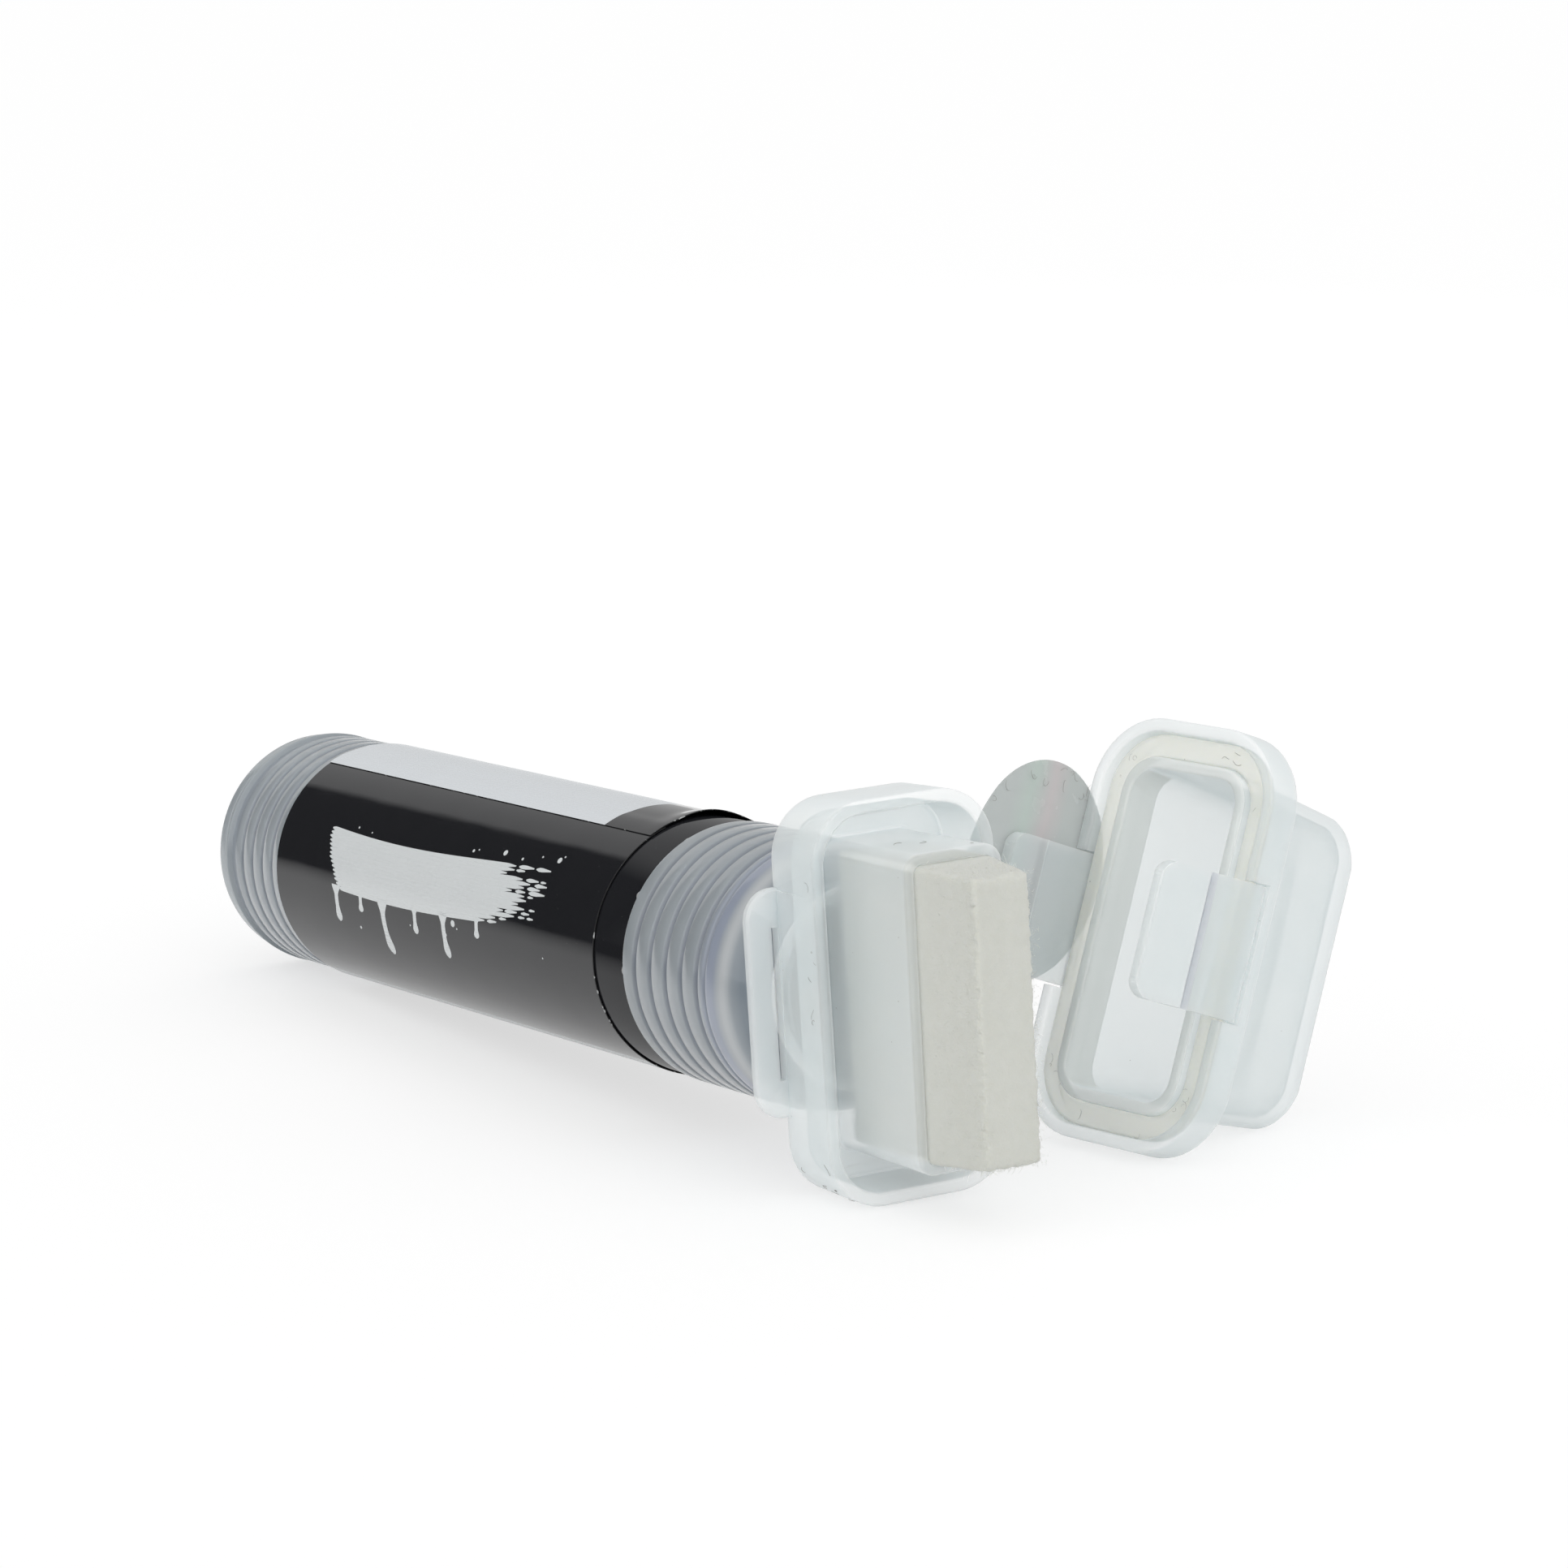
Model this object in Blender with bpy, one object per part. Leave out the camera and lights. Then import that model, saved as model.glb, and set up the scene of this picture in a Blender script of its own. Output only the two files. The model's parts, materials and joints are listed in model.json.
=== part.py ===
"""Paint marker lying on its side, with its push-fit cap taken off and standing beside it."""

import math

import bmesh
import bpy
from mathutils import Matrix, Vector

MM = 0.001

# Barrel and films, measured along the barrel's axis from its rear end
RING_STEPS = 48
FIT_GAP = 0.3 * MM
FILM_GAP = 0.15 * MM
FILM_THICKNESS = 0.2 * MM
BARREL_SMOOTH_RADIUS = 18.3 * MM
BARREL_WALL = 1.6 * MM
PLUG_RIM_HEIGHT = 3.3 * MM
PLUG_RIM_INSET = 0.7 * MM
PLUG_EDGE = 1.0 * MM
PLUG_SPIGOT = 5.7 * MM
PLUG_WALL = 1.5 * MM
PLUG_FOOT_WIDTH = 3.0 * MM
PLUG_FOOT_DEPTH = 0.7 * MM
REAR_BEAD = 1.5 * MM
REAR_BAND = 2.4 * MM
REAR_BAND_DEPTH = 1.0 * MM
REAR_PITCH = 3.6 * MM
REAR_GROOVE_COUNT = 4
FRONT_PITCH = 4.4 * MM
FRONT_GROOVE_COUNT = 5
GROOVE_DEPTH = 0.8 * MM
RIB_EDGE = 0.3 * MM
REAR_RIB_DROP = 0.4 * MM
LABEL_LENGTH = 105.2 * MM
SLEEVE_OVERHANG = 8.2 * MM
SHOULDER_LENGTH = 8.0 * MM
NECK_RADIUS = 15.0 * MM
NECK_LENGTH = 1.8 * MM
MOUTH_RADIUS = 12.6 * MM
MOUTH_LENGTH = 11.0 * MM
GASKET_THICKNESS = 0.7 * MM

# Head: long half-height, short half-width and what stands on it
HEAD_HALF_HEIGHT = 27.97 * MM
HEAD_HALF_WIDTH = 14.45 * MM
HEAD_CORNER = 8.5 * MM
HEAD_DEPTH = 12.0 * MM
HEAD_DRAFT = 0.4 * MM
HEAD_RIM_WALL = 1.9 * MM
HEAD_PLATE = 1.9 * MM
HEAD_EDGE = 0.35 * MM
HOLDER_REACH = 12.4 * MM
HOLDER_WALL = 1.4 * MM
HOLDER_FLARE = 0.4 * MM
HOLDER_FOOT = 0.9 * MM
HOLDER_SLANT = 0.3 * MM
POCKET_CORNER = 1.4 * MM
POCKET_FLOOR = 2.3 * MM
FEED_HALF_HEIGHT = 8.5 * MM
FEED_HALF_WIDTH = 2.6 * MM
SPIGOT_LENGTH = 9.5 * MM
SPIGOT_WALL = 1.9 * MM
EAR_OVERHANG = 0.2 * MM
EAR_HALF_HEIGHT = 15.9 * MM
EAR_CORNER = 4.3 * MM
EAR_THICKNESS = 1.6 * MM
PAD_LENGTH = 9.5 * MM
SLOT_PLAY = 0.3 * MM

# Felt nib
NIB_HALF_HEIGHT = 20.3 * MM
NIB_HALF_WIDTH = 6.05 * MM
NIB_REACH = 11.7 * MM
NIB_TAPER_HEIGHT = 0.6 * MM
NIB_TAPER_WIDTH = 1.75 * MM
NIB_SLANT = 0.4 * MM
NIB_EDGE = 0.7 * MM
NIB_PLAY = 0.25 * MM

# Cap: its rim closes over the head's rim
RIM_PLAY = 0.65 * MM
CAP_WALL = 1.9 * MM
CAP_EDGE = 0.4 * MM
CAP_SKIRT = 6.0 * MM
CHANNEL_DEPTH = 3.4 * MM
CHANNEL_FLOOR = 1.5 * MM
RIDGE_PLAY = 1.05 * MM
RIDGE_WALL = 1.7 * MM
RIDGE_DROP = 0.5 * MM
POUCH_WALL = 1.5 * MM
POUCH_DEPTH = 35.2 * MM
POUCH_BOW = 4.7 * MM
POUCH_NARROW = 1.6 * MM
POUCH_SHORTEN = 1.6 * MM
POUCH_EDGE = 4.5 * MM
SEAL_THICKNESS = 1.4 * MM
SEAL_CROWN = 0.4 * MM

# Latch tongues of the cap, and the closure sticker on one of them
LATCH_HALF_WIDTH = 9.7 * MM
LATCH_LENGTH = 17.0 * MM
LATCH_THICKNESS = 1.7 * MM
LATCH_HINGE_DEPTH = 2.6 * MM
LATCH_TILT = math.radians(5.7)
LATCH_CORNER = 3.0 * MM
NOTCH_AT = 7.1 * MM
NOTCH_DEPTH = 0.6 * MM
HOOK_AT = 9.6 * MM
HOOK_HEIGHT = 0.5 * MM
STICKER_RADIUS = 16.0 * MM
STICKER_THICKNESS = 0.2 * MM
STICKER_GAP = 0.45 * MM
STICKER_RISE = 5.0 * MM
STICKER_FORWARD = 7.8 * MM

# How far the screwed-on head is turned from upright at rest
HEAD_ROLL = math.radians(2.3)

# Where the cap stands, from the front edge of the label
CAP_AHEAD = 45.4 * MM
CAP_ASIDE = 45.3 * MM
CAP_YAW = math.radians(13.6)

# Sizes that follow from the ones above
sleeve_inner = BARREL_SMOOTH_RADIUS + FILM_GAP
sleeve_outer = sleeve_inner + FILM_THICKNESS
label_inner = sleeve_outer + FILM_GAP
label_outer = label_inner + FILM_THICKNESS
rib_radius = label_outer
rear_radius = rib_radius - REAR_RIB_DROP
barrel_inner = BARREL_SMOOTH_RADIUS - BARREL_WALL
barrel_rear = PLUG_RIM_HEIGHT + FIT_GAP
band_front = barrel_rear + REAR_BEAD + REAR_BAND
label_rear = band_front + REAR_PITCH * (REAR_GROOVE_COUNT + 0.6)
label_front = label_rear + LABEL_LENGTH
sleeve_front = label_front + SLEEVE_OVERHANG
shoulder_rear = sleeve_front + FRONT_PITCH * (FRONT_GROOVE_COUNT + 0.65)
neck_rear = shoulder_rear + SHOULDER_LENGTH
lip = neck_rear + NECK_LENGTH
gasket_rear = lip + FIT_GAP
head_rear = gasket_rear + GASKET_THICKNESS + FIT_GAP
head_floor = head_rear + HEAD_PLATE
head_front = head_rear + HEAD_DEPTH
holder_front = head_front + HOLDER_REACH
pocket_floor = head_floor + POCKET_FLOOR
nib_front = holder_front + NIB_REACH
pocket_half_height = NIB_HALF_HEIGHT + NIB_PLAY
pocket_half_width = NIB_HALF_WIDTH + NIB_PLAY
cap_half_height = HEAD_HALF_HEIGHT + RIM_PLAY + CAP_WALL
cap_half_width = HEAD_HALF_WIDTH + RIM_PLAY + CAP_WALL
cap_corner = HEAD_CORNER + RIM_PLAY + CAP_WALL
ridge_inset = RIM_PLAY + CAP_WALL + HEAD_RIM_WALL + RIDGE_PLAY
pouch_inset = ridge_inset + RIDGE_WALL
latch_axis = cap_half_width - LATCH_THICKNESS / 2
pad_half_width = HEAD_HALF_WIDTH - HEAD_DRAFT / 7
ear_outer = rib_radius + EAR_OVERHANG


def clear_scene():
    for thing in list(bpy.data.objects):
        bpy.data.objects.remove(thing, do_unlink=True)
    for mesh in list(bpy.data.meshes):
        bpy.data.meshes.remove(mesh)


def material(name, colour, roughness, metallic=0.0):
    made = bpy.data.materials.new(name)
    made.use_nodes = True
    shader = made.node_tree.nodes["Principled BSDF"]
    shader.inputs["Base Color"].default_value = (*colour, 1.0)
    shader.inputs["Roughness"].default_value = roughness
    shader.inputs["Metallic"].default_value = metallic
    return made


def finish(name, bm, look=None, parent=None, at=(0, 0, 0)):
    """Turn a bmesh into a named object with faces out, its round faces smooth and its edges sharp."""
    bmesh.ops.recalc_face_normals(bm, faces=bm.faces)
    mesh = bpy.data.meshes.new(name)
    bm.to_mesh(mesh)
    bm.free()
    mesh.shade_smooth()
    mesh.set_sharp_from_angle(angle=math.radians(32))
    made = bpy.data.objects.new(name, mesh)
    bpy.context.scene.collection.objects.link(made)
    made.location = at
    if parent:
        made.parent = parent
    if look:
        mesh.materials.append(look)
    return made


def turned(profile):
    """Spin a profile of (radius, height) points round the axis; it ends on the axis or closes on itself."""
    bm = bmesh.new()
    points = [bm.verts.new((radius, 0, height)) for radius, height in profile]
    edges = [bm.edges.new(pair) for pair in zip(points, points[1:])]
    if profile[0][0] > 0:
        edges.append(bm.edges.new((points[-1], points[0])))
    bmesh.ops.spin(bm, geom=points + edges, axis=(0, 0, 1), cent=(0, 0, 0),
                   angle=2 * math.pi, steps=RING_STEPS, use_merge=True)
    bmesh.ops.remove_doubles(bm, verts=bm.verts, dist=1e-7)
    return bm


def rounded(half_x, half_y, corner, per_corner=6):
    """Points of a rounded rectangle, counterclockwise from its +X side."""
    out = []
    signs = ((1, 1), (-1, 1), (-1, -1), (1, -1))
    for quarter, (side_x, side_y) in enumerate(signs):
        for step in range(per_corner):
            turn = math.radians(90) * (quarter + step / (per_corner - 1))
            out.append((side_x * (half_x - corner) + corner * math.cos(turn),
                        side_y * (half_y - corner) + corner * math.sin(turn)))
    return out


def circle(radius, count):
    step = 2 * math.pi / count
    turns = [step * (k + 0.5) for k in range(count)]
    return [(radius * math.cos(turn), radius * math.sin(turn)) for turn in turns]


def loft(sections, ring=False, crowned=False):
    """Extrude a loop through the sections; a ring closes on its start, else its ends are filled."""
    bm = bmesh.new()
    count = len(sections[0])
    first = [bm.verts.new(point) for point in sections[0]]
    start = [bm.edges.new((first[k - 1], first[k])) for k in range(count)]
    verts, edges = first, start
    for points in sections[1:] + sections[:1] * ring:
        grown = bmesh.ops.extrude_edge_only(bm, edges=edges)["geom"]
        fresh = {item for item in grown if isinstance(item, bmesh.types.BMVert)}
        verts = [next(edge.other_vert(vert) for edge in vert.link_edges
                      if edge.other_vert(vert) in fresh) for vert in verts]
        for vert, point in zip(verts, points):
            vert.co = point
        edges = [bm.edges.get((verts[k - 1], verts[k])) for k in range(count)]
    if ring:
        bmesh.ops.remove_doubles(bm, verts=first + verts, dist=1e-7)
        return bm
    ends = bmesh.ops.edgeloop_fill(bm, edges=start)["faces"]
    ends += bmesh.ops.edgeloop_fill(bm, edges=edges)["faces"]
    if crowned:
        bmesh.ops.poke(bm, faces=ends)
    return bm


def level(points, height):
    return [(x, y, height) for x, y in points]


def block(half_x, half_y, half_z, centre):
    bm = bmesh.new()
    bmesh.ops.create_cube(bm, size=2.0)
    bmesh.ops.scale(bm, vec=(half_x, half_y, half_z), verts=bm.verts)
    bmesh.ops.translate(bm, vec=centre, verts=bm.verts)
    return bm


def carve(target, name, bm, operation):
    """Join a helper to a piece or cut it away, and keep the helper out of the render."""
    helper = finish(name, bm, parent=target)
    helper.hide_render = True
    helper.display_type = "WIRE"
    step = target.modifiers.new(name, "BOOLEAN")
    step.operation = operation
    step.solver = "EXACT"
    step.object = helper


def grooves(start, pitch, count, radius):
    """Outer profile of a run of rings: soft valleys between full ribs."""
    out = []
    for index in range(count):
        middle = start + pitch * (index + 0.5)
        for offset, share in ((-0.34, 0.0), (-0.16, 0.62), (0.0, 1.0), (0.16, 0.62), (0.34, 0.0)):
            out.append((radius - GROOVE_DEPTH * share, middle + pitch * offset))
    return out


def build_barrel(look, frame):
    outer = [(rib_radius - PLUG_RIM_INSET, barrel_rear),
             (rib_radius - 0.4 * PLUG_RIM_INSET, barrel_rear + 0.4 * REAR_BEAD),
             (rib_radius - 0.4 * PLUG_RIM_INSET, barrel_rear + 0.8 * REAR_BEAD),
             (rib_radius - REAR_BAND_DEPTH, barrel_rear + REAR_BEAD),
             (rib_radius - REAR_BAND_DEPTH, band_front - RIB_EDGE),
             (rear_radius - 0.7 * RIB_EDGE, band_front),
             (rear_radius, band_front + RIB_EDGE)]
    outer += grooves(band_front + 0.25 * REAR_PITCH, REAR_PITCH, REAR_GROOVE_COUNT, rear_radius)
    outer += [(rear_radius, label_rear - FIT_GAP - 0.7 * RIB_EDGE),
              (BARREL_SMOOTH_RADIUS, label_rear - FIT_GAP),
              (BARREL_SMOOTH_RADIUS, sleeve_front + FIT_GAP),
              (rib_radius, sleeve_front + FIT_GAP + RIB_EDGE)]
    outer += grooves(sleeve_front + 0.4 * FRONT_PITCH, FRONT_PITCH, FRONT_GROOVE_COUNT, rib_radius)
    for step in range(9):
        turn = math.radians(90) * step / 8
        outer.append((NECK_RADIUS + (rib_radius - NECK_RADIUS) * math.cos(turn),
                      shoulder_rear + SHOULDER_LENGTH * math.sin(turn)))
    outer += [(NECK_RADIUS, lip)]
    inner = [(MOUTH_RADIUS, lip), (MOUTH_RADIUS, lip - MOUTH_LENGTH),
             (barrel_inner - 0.5 * BARREL_WALL, shoulder_rear - 0.2 * SHOULDER_LENGTH),
             (barrel_inner, shoulder_rear - 0.5 * SHOULDER_LENGTH), (barrel_inner, barrel_rear)]
    finish("barrel", turned(outer + inner), look, frame)


def build_plug(look, frame):
    rim = rib_radius - PLUG_RIM_INSET
    spigot = barrel_inner - FIT_GAP
    foot = rim - PLUG_EDGE
    profile = [(0, PLUG_FOOT_DEPTH), (foot - PLUG_FOOT_WIDTH - PLUG_FOOT_DEPTH, PLUG_FOOT_DEPTH),
               (foot - PLUG_FOOT_WIDTH, 0), (foot, 0), (rim - 0.3 * PLUG_EDGE, 0.3 * PLUG_EDGE),
               (rim, PLUG_EDGE), (rim, PLUG_RIM_HEIGHT), (spigot, PLUG_RIM_HEIGHT),
               (spigot, PLUG_RIM_HEIGHT + PLUG_SPIGOT), (spigot - PLUG_WALL, PLUG_RIM_HEIGHT + PLUG_SPIGOT),
               (spigot - PLUG_WALL, PLUG_FOOT_DEPTH + PLUG_WALL), (0, PLUG_FOOT_DEPTH + PLUG_WALL)]
    finish("base_plug", turned(profile), look, frame)


def build_tube(name, inner, outer, rear, front, look, frame):
    profile = [(outer, rear), (outer, front), (inner, front), (inner, rear)]
    middle = Vector((0, 0, (rear + front) / 2))
    bm = turned(profile)
    bmesh.ops.translate(bm, vec=-middle, verts=bm.verts)
    finish(name, bm, look, frame, middle)


def build_head(look, frame):
    """One moulding: rim, recess, nib holder, ears and a hollow spigot that screws into the barrel."""
    def rim(inset, height):
        points = rounded(HEAD_HALF_HEIGHT - inset, HEAD_HALF_WIDTH - inset, HEAD_CORNER - inset)
        return level(points, height)

    def sleeve(grow, height, slant=0.0):
        points = rounded(pocket_half_height + grow, pocket_half_width + grow, POCKET_CORNER + 0.8 * grow)
        return [(x, y, height - slant * x / pocket_half_height) for x, y in points]

    outer_spigot = MOUTH_RADIUS - FIT_GAP
    bore = outer_spigot - SPIGOT_WALL
    count = len(rounded(1, 1, 0.5))
    feed = rounded(FEED_HALF_HEIGHT, FEED_HALF_WIDTH, 0.9 * FEED_HALF_WIDTH)
    sections = [
        level(feed, head_rear + 0.4 * HEAD_PLATE),
        level(feed, pocket_floor),
        sleeve(0, pocket_floor),
        sleeve(0, holder_front - HEAD_EDGE, HOLDER_SLANT),
        sleeve(HEAD_EDGE, holder_front, HOLDER_SLANT),
        sleeve(HOLDER_WALL - HEAD_EDGE, holder_front, HOLDER_SLANT),
        sleeve(HOLDER_WALL, holder_front - HEAD_EDGE, HOLDER_SLANT),
        sleeve(HOLDER_WALL - HOLDER_FLARE, head_floor + 2.0 * HOLDER_FOOT),
        sleeve(HOLDER_WALL - 0.4 * HOLDER_FLARE, head_floor + 0.4 * HOLDER_FOOT),
        sleeve(HOLDER_WALL + HOLDER_FOOT - HOLDER_FLARE, head_floor),
        rim(HEAD_RIM_WALL + HEAD_DRAFT, head_floor),
        rim(HEAD_RIM_WALL, head_front - HEAD_EDGE),
        rim(HEAD_RIM_WALL - HEAD_EDGE, head_front),
        rim(HEAD_EDGE, head_front),
        rim(0, head_front - HEAD_EDGE),
        rim(HEAD_DRAFT, head_rear + 2 * HEAD_EDGE),
        rim(HEAD_DRAFT + 2 * HEAD_EDGE, head_rear),
        level(circle(outer_spigot, count), head_rear),
        level(circle(outer_spigot, count), head_rear - SPIGOT_LENGTH),
        level(circle(bore, count), head_rear - SPIGOT_LENGTH),
        level(circle(bore, count), head_rear + 0.4 * HEAD_PLATE),
    ]
    base = Vector((0, 0, head_rear))
    bm = loft(sections, ring=True)
    bmesh.ops.translate(bm, vec=-base, verts=bm.verts)
    head = finish("head", bm, look, frame, base)
    head.rotation_euler.z = HEAD_ROLL
    ear_low = 0.5 * (HEAD_PLATE - EAR_THICKNESS)
    ears = rounded(EAR_HALF_HEIGHT, ear_outer, EAR_CORNER)
    hole = circle(outer_spigot + FIT_GAP, count)
    ear_high = ear_low + EAR_THICKNESS
    ear_sections = [level(ears, ear_low), level(ears, ear_high),
                    level(hole, ear_high), level(hole, ear_low)]
    carve(head, "ear_plate", loft(ear_sections, ring=True), "UNION")
    slot_inner = pad_half_width + 0.1 * MM
    slot_half = 0.5 * (LATCH_THICKNESS + SLOT_PLAY)
    pad_half = 0.5 * (pad_half_width - HEAD_HALF_WIDTH + HEAD_DRAFT + 0.6 * HEAD_RIM_WALL)
    for side, tag in ((1, "right"), (-1, "left")):
        pad_middle = (0, side * (pad_half_width - pad_half), 0.5 * (PAD_LENGTH + EAR_THICKNESS))
        pad_height = EAR_HALF_HEIGHT - 0.3 * MM
        carve(head, "pad_" + tag, block(pad_height, pad_half, 0.5 * PAD_LENGTH, pad_middle), "UNION")
    for side, tag in ((1, "right"), (-1, "left")):
        slot_middle = (0, side * (slot_inner + slot_half), 0)
        half_length = LATCH_HALF_WIDTH + 3 * SLOT_PLAY
        carve(head, "slot_" + tag, block(half_length, slot_half, 3 * HEAD_PLATE, slot_middle), "DIFFERENCE")


def build_nib(look, frame):
    """Felt block with soft edges, tapering towards a front cut a little askew."""
    def section(inset, height, share):
        half_height = NIB_HALF_HEIGHT - inset - NIB_TAPER_HEIGHT * share
        half_width = NIB_HALF_WIDTH - inset - NIB_TAPER_WIDTH * share
        points = rounded(half_height, half_width, NIB_EDGE)
        return [(x, y, height - NIB_SLANT * share * x / NIB_HALF_HEIGHT) for x, y in points]

    rear = pocket_floor + FIT_GAP
    sections = [section(0.3 * NIB_EDGE, rear, 0), section(0, rear + NIB_EDGE, 0),
                section(0, holder_front, 0), section(0, nib_front - NIB_EDGE, 1),
                section(0.3 * NIB_EDGE, nib_front - 0.3 * NIB_EDGE, 1), section(NIB_EDGE, nib_front, 1)]
    base = Vector((0, 0, rear))
    bm = loft(sections)
    bmesh.ops.translate(bm, vec=-base, verts=bm.verts)
    nib = finish("felt_nib", bm, look, frame, base)
    nib.rotation_euler.z = HEAD_ROLL


def build_cap(look, frame):
    """Rim with channel and ridge on the mouth side, a short skirt behind it and the closed pouch."""
    def rim(inset, depth):
        corner = max(cap_corner - inset, 1.0 * MM)
        return level(rounded(cap_half_width - inset, cap_half_height - inset, corner), -depth)

    def pouch(wall, share, inset, depth, bow):
        half_width = cap_half_width - pouch_inset + wall - POUCH_NARROW * share - inset
        half_height = cap_half_height - pouch_inset + wall - POUCH_SHORTEN * share - inset
        corner = min(cap_corner - pouch_inset + wall, 0.9 * half_width)
        return [(x, y, -depth - bow * (1 - (y / half_height) ** 2))
                for x, y in rounded(half_width, half_height, corner)]

    def closed_end(wall, depth, edge):
        straight = depth - POUCH_BOW - edge
        out = []
        for step in range(5):
            turn = math.radians(90) * step / 4
            out.append(pouch(wall, 1, edge * (1 - math.cos(turn)), straight + edge * math.sin(turn),
                             POUCH_BOW * math.sin(turn)))
        narrow = cap_half_width - pouch_inset + wall - POUCH_NARROW - edge
        for share in (0.45, 0.8):
            out.append(pouch(wall, 1, edge + narrow * share, depth - POUCH_BOW, POUCH_BOW))
        return out

    under = CHANNEL_DEPTH + CHANNEL_FLOOR
    outside = closed_end(POUCH_WALL, POUCH_DEPTH, POUCH_EDGE)
    inside = closed_end(0, POUCH_DEPTH - POUCH_WALL, POUCH_EDGE - 0.6 * POUCH_WALL)
    sections = outside[::-1] + [
        pouch(POUCH_WALL, 0, 0, under, 0),
        rim(CAP_WALL, under),
        rim(CAP_WALL, CAP_SKIRT),
        rim(CAP_EDGE, CAP_SKIRT),
        rim(0, CAP_SKIRT - CAP_EDGE),
        rim(0, CAP_EDGE),
        rim(CAP_EDGE, 0),
        rim(CAP_WALL - CAP_EDGE, 0),
        rim(CAP_WALL, CAP_EDGE),
        rim(CAP_WALL, CHANNEL_DEPTH),
        rim(ridge_inset, CHANNEL_DEPTH),
        rim(ridge_inset, RIDGE_DROP + CAP_EDGE),
        rim(ridge_inset + CAP_EDGE, RIDGE_DROP),
        rim(pouch_inset - CAP_EDGE, RIDGE_DROP),
        rim(pouch_inset, RIDGE_DROP + CAP_EDGE),
    ] + inside
    cap = finish("cap_shell", loft(sections, crowned=True), look, frame)
    depth = LATCH_HINGE_DEPTH + LATCH_THICKNESS / 2 + FIT_GAP
    for side, tag in ((1, "right"), (-1, "left")):
        middle = (side * cap_half_width, 0, 0)
        notch = block(CAP_WALL + 0.1 * MM, LATCH_HALF_WIDTH + FIT_GAP, depth, middle)
        carve(cap, "rim_notch_" + tag, notch, "DIFFERENCE")


def build_cap_seal(look, frame):
    def lap(inset, height):
        return level(rounded(cap_half_width - inset, cap_half_height - inset, cap_corner - inset), height)

    outer = CAP_WALL + FIT_GAP
    inner = ridge_inset - FIT_GAP
    low = FIT_GAP - CHANNEL_DEPTH
    high = low + SEAL_THICKNESS
    quarter = 0.25 * (inner - outer)
    sections = [lap(outer, low), lap(outer, high - SEAL_CROWN), lap(outer + quarter, high),
                lap(inner - quarter, high), lap(inner, high - SEAL_CROWN), lap(inner, low)]
    finish("cap_gasket", loft(sections, ring=True), look, frame)


def build_latch(tag, side, look, frame):
    """Springy tongue with a rounded root, a catch groove across its outer face and a low hook inside."""
    half = LATCH_THICKNESS / 2
    top = LATCH_LENGTH + LATCH_HINGE_DEPTH
    notch = NOTCH_AT + LATCH_HINGE_DEPTH
    hook = HOOK_AT + LATCH_HINGE_DEPTH
    profile = [(half, notch - NOTCH_DEPTH), (half - NOTCH_DEPTH, notch), (half, notch + NOTCH_DEPTH),
               (half, top), (-half, top), (-half, hook + 2.5 * HOOK_HEIGHT), (-half - HOOK_HEIGHT, hook),
               (-half, hook - HOOK_HEIGHT)]
    for step in range(9):
        turn = math.radians(180) * (1 + step / 8)
        profile.append((half * math.cos(turn), half * math.sin(turn)))
    bm = bmesh.new()
    verts = [bm.verts.new((side * x, -LATCH_HALF_WIDTH, z)) for x, z in profile]
    face = bm.faces.new(verts)
    grown = bmesh.ops.extrude_face_region(bm, geom=[face])["geom"]
    moved = [item for item in grown if isinstance(item, bmesh.types.BMVert)]
    bmesh.ops.translate(bm, vec=(0, 2 * LATCH_HALF_WIDTH, 0), verts=moved)
    tips = [edge for edge in bm.edges
            if all(abs(vert.co.z - top) < 1e-7 for vert in edge.verts)
            and abs(edge.verts[0].co.y - edge.verts[1].co.y) < 1e-7]
    bmesh.ops.bevel(bm, geom=tips, offset=LATCH_CORNER, segments=5, profile=0.5, affect="EDGES")
    latch = finish("latch_" + tag, bm, look, frame, (side * latch_axis, 0, -LATCH_HINGE_DEPTH))
    latch.rotation_euler = (0, -side * LATCH_TILT, 0)
    return latch


def build_sticker(look, latch):
    bm = bmesh.new()
    bmesh.ops.create_cone(bm, cap_ends=True, segments=RING_STEPS, radius1=STICKER_RADIUS,
                          radius2=STICKER_RADIUS, depth=STICKER_THICKNESS)
    bmesh.ops.rotate(bm, cent=(0, 0, 0), matrix=Matrix.Rotation(math.radians(90), 3, "Y"), verts=bm.verts)
    out = LATCH_THICKNESS / 2 + STICKER_GAP + STICKER_THICKNESS / 2
    finish("seal_sticker", bm, look, latch, (-out, STICKER_RISE, STICKER_FORWARD + LATCH_HINGE_DEPTH))


def world_points(objects):
    """World positions of every evaluated vertex."""
    graph = bpy.context.evaluated_depsgraph_get()
    out = []
    for thing in objects:
        done = thing.evaluated_get(graph)
        mesh = done.to_mesh()
        out += [done.matrix_world @ vert.co for vert in mesh.vertices]
        done.to_mesh_clear()
    return out


def cap_lean():
    """Tilt at which the cap stands on its skirt's rear edge and its pouch's far edge."""
    far_half = cap_half_height - pouch_inset + POUCH_WALL - POUCH_SHORTEN - POUCH_EDGE
    far_depth = POUCH_DEPTH - POUCH_BOW - POUCH_EDGE
    near_half = cap_half_height - CAP_EDGE
    near_depth = CAP_SKIRT - CAP_EDGE
    run = far_depth - near_depth
    drop = near_half - far_half
    return math.atan2(drop, run) + math.asin((CAP_EDGE - POUCH_EDGE) / math.hypot(run, drop))


def rest(frame, pieces):
    """Lower a frame until its lowest point touches the floor."""
    bpy.context.view_layer.update()
    frame.location.z -= min(point.z for point in world_points(pieces))


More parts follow.
